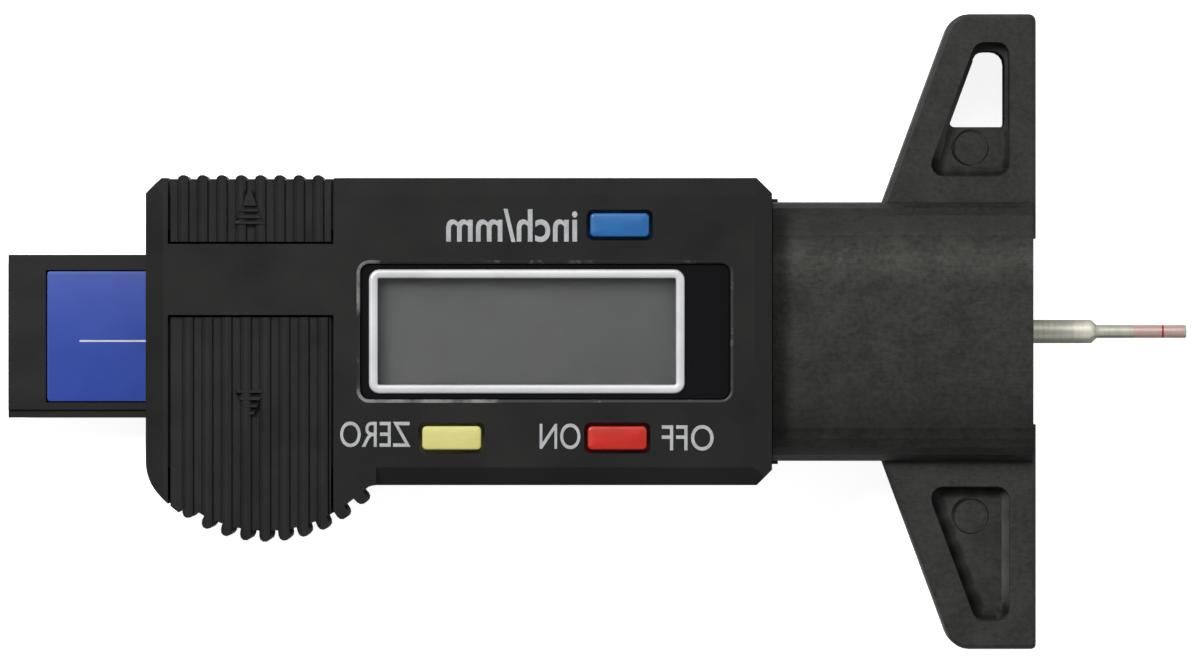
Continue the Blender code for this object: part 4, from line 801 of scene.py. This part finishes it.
for keyName in ("unit", "power", "zero"):
    keyFinish = keyPlastic(keyName + "KeyPlastic", keyTones[keyName], keyLook)
    crownedKey(keyName + "Key", keyName + "_key", keyFinish, keySizes)
    rubberDome(keyName, domeSizes)
print("buttons made")


# Lettering: generic words, reading backwards as the photograph shows them
words = {
    # text, weight, and the printed box in pixels
    "unitWords": {"text": "inch/mm", "weight": 0.016, "x": (447, 577.5), "y": (209.5, 242.5)},
    "offWord": {"text": "OFF", "weight": 0.003, "x": (661.5, 713), "y": (424.5, 450)},
    "onWord": {"text": "ON", "weight": 0.003, "x": (540, 580.5), "y": (423, 448.5)},
    "zeroWord": {"text": "ZERO", "weight": 0.003, "x": (341.5, 411.5), "y": (421, 446.5)},
}
ink = {"thickness": 0.02 * mm, "sunk": 0.25}    # sunk: the share of the thickness below the case's face


def printedWord(name, word):
    # the outline is made a mesh, then x turned round and both directions fitted to the printed box
    curve = bpy.data.curves.new(name, "FONT")
    curve.body = word["text"]
    curve.resolution_u = 6
    curve.offset = word["weight"]
    curve.extrude = 0.01
    holder = bpy.data.objects.new(name, curve)
    inScene.link(holder)
    bpy.context.view_layer.update()
    finished = holder.evaluated_get(bpy.context.evaluated_depsgraph_get())
    mesh = bpy.data.meshes.new_from_object(finished)
    bpy.data.objects.remove(holder)
    bpy.data.curves.remove(curve)
    count = len(mesh.vertices)
    co = np.zeros(count * 3, np.float32)
    mesh.vertices.foreach_get("co", co)
    co = co.reshape(-1, 3)
    share = (co - co.min(0)) / (co.max(0) - co.min(0))
    left, top = fromPixels(word["x"][0], word["y"][0])
    right, low = fromPixels(word["x"][1], word["y"][1])
    placedCo = np.stack([right + share[:, 0] * (left - right), low + share[:, 1] * (top - low),
                         caseFace + ink["thickness"] * (share[:, 2] - ink["sunk"])], -1)
    mesh.vertices.foreach_set("co", placedCo.ravel().astype(np.float32))
    mesh.flip_normals()
    mesh.update()
    return placed(name, mesh, plain["letterInk"], "gauge")


for wordName, word in words.items():
    printedWord(wordName, word)
print("lettering made")


# Arrows on the covers: places and widths in pixels, heights from the cover's face
portArrow = {
    "middle": 251.5, "base": 224.5, "tip": 190, "baseHalf": 15, "tipHalf": 1.5,
    "grooves": (220.5, 214.0, 208.0), "grooveHalf": 1.3, "depth": 0.30 * mm, "rise": 0.14 * mm,
}
lidArrow = {
    "middle": 252.0, "base": 390, "tip": 414, "baseHalf": 15.5, "tipHalf": 4,
    "grooves": (394.5, 402.0, 409.0), "grooveHalf": 1.7, "depth": 0.42 * mm, "rise": 0.03 * mm,
}
arrowEdge = {"drop": 0.12 * mm, "root": 0.6 * mm}    # both arrows: lower at the sides, and sunk in the cover


def arrowPlate(name, node, body, sizes):
    # a wedge between the ribs: u runs across it and v from base to tip, its half width falls evenly with v,
    # and each bar is parted from the next by a V groove at a set v
    x, base = fromPixels(sizes["middle"], sizes["base"])
    tip = fromPixels(0, sizes["tip"])[1]
    face = boxOf(node)[1][2]
    v = np.linspace(0, 1, 73)[:, None]
    u = np.r_[np.linspace(-1, 1, 15), 1.0, -1.0][None, :]
    under = np.r_[np.zeros(15), 1.0, 1.0][None, :]
    half = (sizes["baseHalf"] + (sizes["tipHalf"] - sizes["baseHalf"]) * v) * photo["pixel"]
    py = sizes["base"] + (sizes["tip"] - sizes["base"]) * v
    grooves = np.array(sizes["grooves"])[None, :]
    groove = np.clip(1.25 - np.abs(py - grooves) / sizes["grooveHalf"], 0, 1).max(1)[:, None]
    side = np.clip((1 - np.abs(u)) / 0.10, 0, 1)
    top = face + sizes["rise"] - sizes["depth"] * groove * side - arrowEdge["drop"] * (1 - side)
    z = np.where(under > 0, face - arrowEdge["root"], top)
    points = np.stack([x + u * half, base + (tip - base) * v + 0 * u, z + 0 * u], -1)
    return surface(name, points, plain["coverPlastic"], body, capped=True)


arrowPlate("portArrow", "port_cover", "port_lid", portArrow)
arrowPlate("lidArrow", "battery_cover", "battery_lid", lidArrow)
print("arrows made")


# Slide: label and its dividing line
labelSizes = {
    "corner": 0.35 * mm, "edge": 0.04 * mm,
    "line": (78, 341), "lineHalf": 0.075 * mm,    # the line's start in pixels
    "lineEnd": 2 * mm,                            # from the label's inner end
    "lineSunk": 0.005 * mm, "lineProud": 0.012 * mm,
}


def slideLabel(sizes):
    # a thin film with rounded corners and a soft edge
    low, high, middle, half = boxOf("scale_label")
    over = roundOver((0, high[2] - sizes["edge"]), (sizes["edge"], high[2]), 4)
    inset = np.r_[0.0, over[:, 0]]
    height = np.r_[low[2], over[:, 1]]
    loops = stackedLoops(middle, half[0] - inset, half[1] - inset, sizes["corner"] - inset, height)
    return surface("slideLabel", loops, blueFilm, "slide", capped=True, stands=["scale_label"])


def dividingLine(sizes):
    # a flat bar with rounded ends, printed on the film
    high = boxOf("scale_label")[1]
    x, y = fromPixels(*sizes["line"])
    end = high[0] - sizes["lineEnd"]
    loops = stackedLoops(((x + end) / 2, y), [(end - x) / 2] * 2, [sizes["lineHalf"]] * 2, [0.02 * mm] * 2,
                         [high[2] - sizes["lineSunk"], high[2] + sizes["lineProud"]], 3)
    return surface("labelLine", loops, plain["dividerInk"], "slide", capped=True)


slideLabel(labelSizes)
dividingLine(labelSizes)
print("label made")


# Probe: turned steel, thinner towards the tip
def turnedProbe(sizes):
    # radius along X: a small chamfer, the shank, a smooth cone, the thin tip and a rounded end
    low, high, middle, half = boxOf("probe")
    shank = half[1]
    chamfer = sizes["chamfer"]
    shoulder = high[0] - sizes["tipLength"]
    share = np.linspace(0, 1, 9)
    cone = shank + (sizes["tipRadius"] - shank) * (3 * share ** 2 - 2 * share ** 3)
    turn = np.linspace(0, math.pi / 2, 6)
    endX = high[0] - sizes["round"] * (1 - np.sin(turn))
    endRadius = sizes["tipRadius"] - sizes["round"] * (1 - np.cos(turn))
    body = np.linspace(low[0] + chamfer, shoulder - sizes["cone"], 30)
    along = np.r_[low[0], body, shoulder - sizes["cone"] * (1 - share[1:]),
                  np.linspace(shoulder, endX[0], 20)[1:-1], endX]
    radius = np.r_[shank - chamfer, np.full(30, shank), cone[1:], np.full(18, sizes["tipRadius"]), endRadius]
    points = turnedX(along, radius, middle[1], middle[2])
    return surface("probePin", points, groundSteel, "slide", capped=True, stands=["probe"])


turnedProbe(probeSizes)
print("probe made")


# Case screws: pan heads with cross recesses, threads inside the bosses
screwSizes = {
    "recessHalf": 0.26 * mm, "recessReach": 0.95 * mm, "recessDepth": 0.75 * mm, "blend": 0.12 * mm,
    "dome": 0.22 * mm, "edge": 0.1 * mm, "head": 1.25 * mm, "neck": 1.0 * mm,
    "pitch": 0.4 * mm, "thread": 0.10 * mm, "shank": 0.98 * mm, "end": 0.3 * mm, "tip": 0.5 * mm,
}


def caseScrew(number, sizes):
    # the head's face is a shallow dome less the cross; the shank's radius is a saw tooth of height and angle
    node = f"case_screw_{number}"
    low, high, middle, half = boxOf(node)
    headRadius = half[0]
    angle = fullTurn(64)
    faceR = np.linspace(0.03 * mm, headRadius * 0.97, 22)[:, None]
    faceZ = low[2] + sizes["dome"] * (faceR / headRadius) ** 3
    dip = sizes["recessDepth"] * crossDip(faceR * np.cos(angle), faceR * np.sin(angle),
                                          sizes["recessHalf"], sizes["recessReach"], sizes["blend"])
    headHigh = low[2] + sizes["head"]
    sideR = allRound([headRadius, headRadius, sizes["neck"]], angle)
    sideZ = allRound([low[2] + sizes["dome"] + sizes["edge"], headHigh, headHigh], angle)
    shankZ = allRound(np.linspace(headHigh + 0.05 * mm, high[2] - sizes["end"], 110), angle)
    saw = np.abs(((shankZ / sizes["pitch"] - angle / (2 * math.pi)) % 1.0) * 2 - 1)
    shankR = sizes["shank"] - sizes["thread"] * (1 - saw)
    tipR = allRound([sizes["tip"], 0.05 * mm], angle)
    tipZ = allRound([high[2] - 0.05 * mm, high[2]], angle)
    radius = np.concatenate([faceR + 0 * angle, sideR, shankR, tipR])
    height = np.concatenate([faceZ + dip, sideZ, shankZ, tipZ])
    return surface(f"caseScrew{number}", turnedZ(middle, radius, height, angle), plain["screwSteel"], "gauge",
                   capped=True, stands=[node])


for number in range(1, 5):
    caseScrew(number, screwSizes)
print("screws made")


# Button cell: can with a rolled edge, sealing ring and cap, a plus sign pressed into its face
cellSizes = {
    "edge": 0.45 * mm, "seal": 0.25 * mm, "capShare": 1 / 16,    # the cap's share of the height
    "capRadii": (0.72, 0.76, 0.76, 0.80, 0.80, 0.90),            # shares of the radius, outwards
    "plusHalf": 0.28 * mm, "plusReach": 1.5 * mm, "plusDepth": 0.06 * mm, "plusBlend": 0.08 * mm,
    "faceRows": 39,
}


def buttonCell(sizes):
    # rows of radius and height from the cap over the seal, up the can and in across its face, less the plus
    low, high, middle, half = boxOf("battery")
    radius = half[0]
    angle = fullTurn(96)
    turn = np.linspace(0, math.pi / 2, 7)
    step = (high[2] - low[2]) * sizes["capShare"]
    edge = sizes["edge"]
    capR = np.r_[0.04 * mm, radius * np.array(sizes["capRadii"])]
    capZ = low[2] + np.array([0, 0, 0.3 * step, step + sizes["seal"], step + sizes["seal"], step, step])
    lowR = radius - edge * (1 - np.sin(turn))
    lowZ = low[2] + step + edge * (1 - np.cos(turn))
    highR = radius - edge * (1 - np.cos(turn))
    highZ = high[2] - edge * (1 - np.sin(turn))
    count = sizes["faceRows"]
    faceR = np.linspace(radius - edge, 0.05 * mm, count + 1)[1:]
    rowR = allRound(np.r_[capR, lowR, highR, faceR], angle)
    rowZ = allRound(np.r_[capZ, lowZ, highZ, np.full(count, high[2])], angle)
    onFace = (np.arange(len(rowR)) >= len(rowR) - count)[:, None]
    dip = crossDip(rowR * np.cos(angle), rowR * np.sin(angle),
                   sizes["plusHalf"], sizes["plusReach"], sizes["plusBlend"])
    rowZ = rowZ - sizes["plusDepth"] * dip * onFace
    return surface("buttonCell", turnedZ(middle, rowR, rowZ, angle), cellCan(canLook, middle), "gauge",
                   capped=True, stands=["battery"])


buttonCell(cellSizes)
print("button cell made")


# Wing pockets: the rounded foot of their walls, with painted shade along some walls and painted light along
# others, and the ejectors' rings
pocketSizes = {
    "slopeX": (27.65 * mm, 32.08 * mm),    # the sloping side, near the neck and at the outer end
    "faceX": 35.15 * mm,
    "nearY": 12.9 * mm,
    "outerY": 24.9 * mm,
    "holeY": 17.0 * mm,                    # the lanyard hole starts here in the upper wing
    "corner": 1.1 * mm,
    "mouth": 8.8 * mm,
    "floor": 7.4 * mm,
    "lean": 0.5 * mm,
    "foot": (0.30 * mm, 0.85 * mm),        # how far the rounded foot reaches over the floor, with no painted shade and with the most
    "slopeShare": 0.86,                    # how much of the upper pocket's sloping wall is covered
    "taper": 1.5 * mm,                     # it thins out over this length before the hole
    "clear": 0.015 * mm,                   # from the wall to the surface that covers it
    "sunk": 0.2 * mm,                      # its closed back, behind the wall and under the floor
    "ring": (1.5 * mm, 0.07 * mm),         # radius, and half the bead's width
    "ringAt": {"upper": (971, 147), "lower": (971, 516)},    # pixels
}
pocketPaintedShading = {
    # colours of the painted shade and the painted light in the pockets
    "darkTone": (0.0035, 0.0034, 0.0031), "paintedLight": (0.115, 0.113, 0.106),
    # pixels, strength and reach in mm: above zero painted shade, below zero painted light
    "upper": ((936, 171, 1.0, 1.0), (1000, 170, 0.9, 0.8), (956, 173, 0.7, 1.1), (980, 173, 0.7, 1.1),
              (946, 120, -0.9, 3.6)),
    "lower": ((952, 485, 1.0, 1.2), (972, 484, 1.0, 1.3), (990, 486, 1.0, 1.1), (936, 508, 1.0, 0.9),
              (943, 530, 1.0, 1.3), (953, 553, 1.0, 1.3), (962, 577, 1.0, 1.3), (973, 602, 1.0, 1.3),
              (986, 616, 0.8, 1.0), (1004, 612, 0.9, 0.6), (1011, 500, -0.8, 1.6), (1012, 535, -0.9, 2.4),
              (1012, 575, -0.9, 2.4), (994, 622, -0.6, 0.8)),
}


def smoothPath(corners, radius, closed, spacing):
    # straight runs joined by arcs tangent to them, then points at an even spacing along the whole length
    corners = np.asarray(corners, float)
    count = len(corners)
    pieces = []
    for k in range(count):
        if not closed and k in (0, count - 1):
            pieces.append(corners[k][None, :])
            continue
        here = corners[k]
        back = corners[k - 1] - here
        on = corners[(k + 1) % count] - here
        back, on = back / np.linalg.norm(back), on / np.linalg.norm(on)
        half = np.arccos(np.clip(back @ on, -1, 1)) / 2
        reach = radius / math.tan(half)
        centre = here + (back + on) / np.linalg.norm(back + on) * radius / math.sin(half)
        start, end = here + back * reach - centre, here + on * reach - centre
        share = np.linspace(0, 1, 9)[:, None]
        arcPoints = start * (1 - share) + end * share
        pieces.append(centre + arcPoints / np.linalg.norm(arcPoints, axis=1)[:, None] * radius)
    line = np.concatenate(pieces + ([pieces[0][:1]] if closed else []))
    length = np.r_[0, np.cumsum(np.linalg.norm(np.diff(line, axis=0), axis=1))]
    even = np.linspace(0, length[-1], int(length[-1] / spacing) + 1)
    return np.stack([np.interp(even, length, line[:, 0]), np.interp(even, length, line[:, 1])], -1)


def shadingAt(x, y, spots):
    # the strongest of the spots, each falling off with the square of the distance over its reach
    dark, light = np.zeros_like(x), np.zeros_like(x)
    for px, py, strength, reach in spots:
        sx, sy = fromPixels(px, py)
        amount = strength * np.exp(-((x - sx) ** 2 + (y - sy) ** 2) / (reach * mm) ** 2)
        dark, light = np.maximum(dark, amount), np.minimum(light, amount)
    return np.where(dark > 0.35, dark, dark + light)


def pocketFinish(look):
    # the foot's nylon, painted darker or lighter where the surface's own value says: painted shade and
    # painted light in the pockets, darker on some sides of the ejectors' rings
    made, tree, place = startFinish("pocketPaintedTone")
    cloud = noise(tree, place, look["cloud"])
    mottle = noise(tree, place, look["mottle"], 4.0)
    tone = weighted(tree, (cloud, 0.5), (mottle, 0.5))
    clean = between(tree, tone, 0.40, 0.60, look["wing"])
    toneShift = tree.nodes.new("ShaderNodeAttribute")
    toneShift.attribute_name = "toneShift"
    share = maths(tree, "MULTIPLY", toneShift.outputs["Fac"], spread(tree, mottle, 0.8, 1.0), True)
    paintedLight = maths(tree, "MULTIPLY", toneShift.outputs["Fac"], -0.8, True)
    base = blended(tree, paintedLight, blended(tree, share, clean, pocketPaintedShading["darkTone"]), pocketPaintedShading["paintedLight"])
    return finished(made, look, base, mottle, mottle)


def pocketFoot(name, side, sizes, finish):
    # across: down the leaning wall, then out over the floor with the cube of the way; closed underneath.
    # along: round the pocket's outline; in the upper wing only down the slope, past the neck, up to the hole
    near, outer = side * sizes["nearY"], side * sizes["outerY"]
    slopeNear, slopeOuter = sizes["slopeX"]
    faceX = sizes["faceX"]
    if side < 0:
        corners = [(slopeNear, near), (slopeOuter, outer), (faceX, outer), (faceX, near)]
    else:
        share = sizes["slopeShare"]
        start = (slopeNear + share * (slopeOuter - slopeNear), near + share * (outer - near))
        corners = [start, (slopeNear, near), (faceX, near), (faceX, sizes["holeY"])]
    path = smoothPath(corners, sizes["corner"], side < 0, 0.25 * mm)
    way = np.gradient(path, axis=0)
    if side < 0:
        way[0] = way[-1] = (path[1] - path[-2]) / 2
    way /= np.linalg.norm(way, axis=1)[:, None]
    inward = np.stack([-way[:, 1], way[:, 0]], -1)
    spots = pocketPaintedShading["upper" if side > 0 else "lower"]
    floorLine = path + sizes["lean"] * inward
    shadeShare = np.clip(shadingAt(floorLine[:, 0], floorLine[:, 1], spots), 0, 1)
    reach = sizes["foot"][0] + (sizes["foot"][1] - sizes["foot"][0]) * shadeShare
    if side > 0:
        # nothing over the hole, and both ends thin out
        reach *= np.clip((sizes["holeY"] - path[:, 1]) / sizes["taper"], 0.01, 1)
    q = np.linspace(0, 1, 14)[None, :]
    depth = sizes["mouth"] - sizes["floor"]
    z = sizes["floor"] + 0.01 * mm + (depth - 0.05 * mm) * (1 - q) ** 2
    wall = sizes["lean"] * (sizes["mouth"] - z) / depth
    out = wall + sizes["clear"] + reach[:, None] * q ** 3
    sunk = sizes["sunk"]
    z = np.concatenate([z + 0 * out, np.full((len(path), 2), sizes["floor"] - sunk)], 1)
    out = np.concatenate([out, out[:, -1:], np.full((len(path), 1), -sunk)], 1)
    x = path[:, :1] + inward[:, :1] * out
    y = path[:, 1:] + inward[:, 1:] * out
    fade = np.concatenate([np.clip((1 - q) / 0.12, 0, 1), [[0.0, 0.0]]], 1)
    # painted shade and painted light, fading out over the floor
    toneShift = shadingAt(x, y, spots) * fade
    return surface(name, np.stack([x, y, z], -1), finish, "gauge", capped=side > 0, sharp=60, marks=toneShift)


def ejectorRing(name, side, sizes, finish):
    # a shallow bead round the ejector's mark, painted darker on some sides than on others
    x, y = fromPixels(*sizes["ringAt"]["upper" if side > 0 else "lower"])
    radius, half = sizes["ring"]
    around = np.linspace(0, 2 * math.pi, 57)[:, None]
    across = np.linspace(0, 2 * math.pi, 9)[None, :-1]
    away = radius + half * np.cos(across)
    z = sizes["floor"] - 0.04 * mm + half * np.sin(across) + 0 * around
    points = np.stack([x + away * np.cos(around), y + away * np.sin(around), z], -1)
    toneShift = 0.55 + 0.45 * np.cos(around * 3 + side) + 0 * across
    return surface(name, points, finish, "gauge", sharp=60, marks=toneShift)


pocketNylon = pocketFinish({**footLook, "depth": footLook["depth"] / 2, "specular": 0.15})
pocketFoot("upperPocketFoot", 1, pocketSizes, pocketNylon)
pocketFoot("lowerPocketFoot", -1, pocketSizes, pocketNylon)
ejectorRing("upperEjectorRing", 1, pocketSizes, pocketNylon)
ejectorRing("lowerEjectorRing", -1, pocketSizes, pocketNylon)
print("pockets made")


# Floor, lights and camera
floorLook = {"tones": ((0.90,) * 3, (0.8955,) * 3), "glow": 0.88, "half": 1.5, "under": 0.05 * mm}


def paleFloor(look):
    half = look["half"]
    u, v = np.meshgrid(np.linspace(-half, half, 3), np.linspace(-half, half, 3), indexing="ij")
    grid = np.stack([u, v, np.full_like(u, -look["under"])], -1)
    corner = np.arange(2)[:, None] * 3 + np.arange(2)[None, :]
    quads = np.stack([corner, corner + 3, corner + 4, corner + 1], -1).reshape(-1, 4)
    mesh = bpy.data.meshes.new("floor")
    mesh.from_pydata(grid.reshape(-1, 3).tolist(), [], quads.tolist())
    made, tree, place = startFinish("floorPaper")
    shader = tree.nodes["Principled BSDF"]
    cloud = noise(tree, place, 0.2, 2.0)
    paper = between(tree, cloud, 0.3, 0.7, look["tones"])
    tree.links.new(paper, shader.inputs["Base Color"])
    shader.inputs["Roughness"].default_value = 0.9
    shader.inputs["Specular IOR Level"].default_value = 0.1
    shader.inputs["Emission Color"].default_value = (1.0, 1.0, 1.0, 1.0)
    # white in every gap, but it lights nothing
    seen = tree.nodes.new("ShaderNodeLightPath").outputs["Is Camera Ray"]
    tree.links.new(maths(tree, "MULTIPLY", seen, look["glow"]), shader.inputs["Emission Strength"])
    mesh.materials.append(made)
    floor = bpy.data.objects.new("floor", mesh)
    inScene.link(floor)


lamps = {
    "keyLight": {"place": (-0.46, 0.38, 0.78), "size": (0.32, 0.28), "power": 6.6},
    "topLight": {"place": (-0.06, 0.56, 0.74), "size": (0.70, 0.34), "power": 2.4},
    "fillLight": {"place": (0.30, -0.60, 0.62), "size": (0.80, 0.40), "power": 0.6},
    "rightLight": {"place": (0.70, 0.20, 0.50), "size": (0.5, 0.5), "power": 1.4},
}
skyLook = {"colour": (0.94, 0.97, 1.0), "strength": 0.15}


def softLamp(name, lamp):
    light = bpy.data.lights.new(name, "AREA")
    light.shape = "RECTANGLE"
    light.size, light.size_y = lamp["size"]
    light.energy = lamp["power"]
    holder = bpy.data.objects.new(name, light)
    holder.location = lamp["place"]
    holder.rotation_euler = (-Vector(lamp["place"])).to_track_quat("-Z", "Y").to_euler()
    inScene.link(holder)


def camera():
    made = bpy.data.cameras.new("camera")
    made.sensor_fit = "HORIZONTAL"
    made.sensor_width = photo["sensor"]
    made.lens = photo["sensor"] * photo["distance"] / (photo["width"] * photo["pixel"])
    made.clip_start = 0.01
    made.clip_end = 20.0
    holder = bpy.data.objects.new("camera", made)
    holder.location = (*photo["middle"], photo["plane"] + photo["distance"])
    inScene.link(holder)
    bpy.context.scene.camera = holder


paleFloor(floorLook)
for lampName, lamp in lamps.items():
    softLamp(lampName, lamp)
sky = bpy.data.worlds.new("sky")
sky.use_nodes = True
skyShader = sky.node_tree.nodes["Background"]
skyShader.inputs["Color"].default_value = (*skyLook["colour"], 1.0)
skyShader.inputs["Strength"].default_value = skyLook["strength"]
bpy.context.scene.world = sky
bpy.context.scene.view_settings.view_transform = "Standard"
camera()
print("floor, lights and camera made")
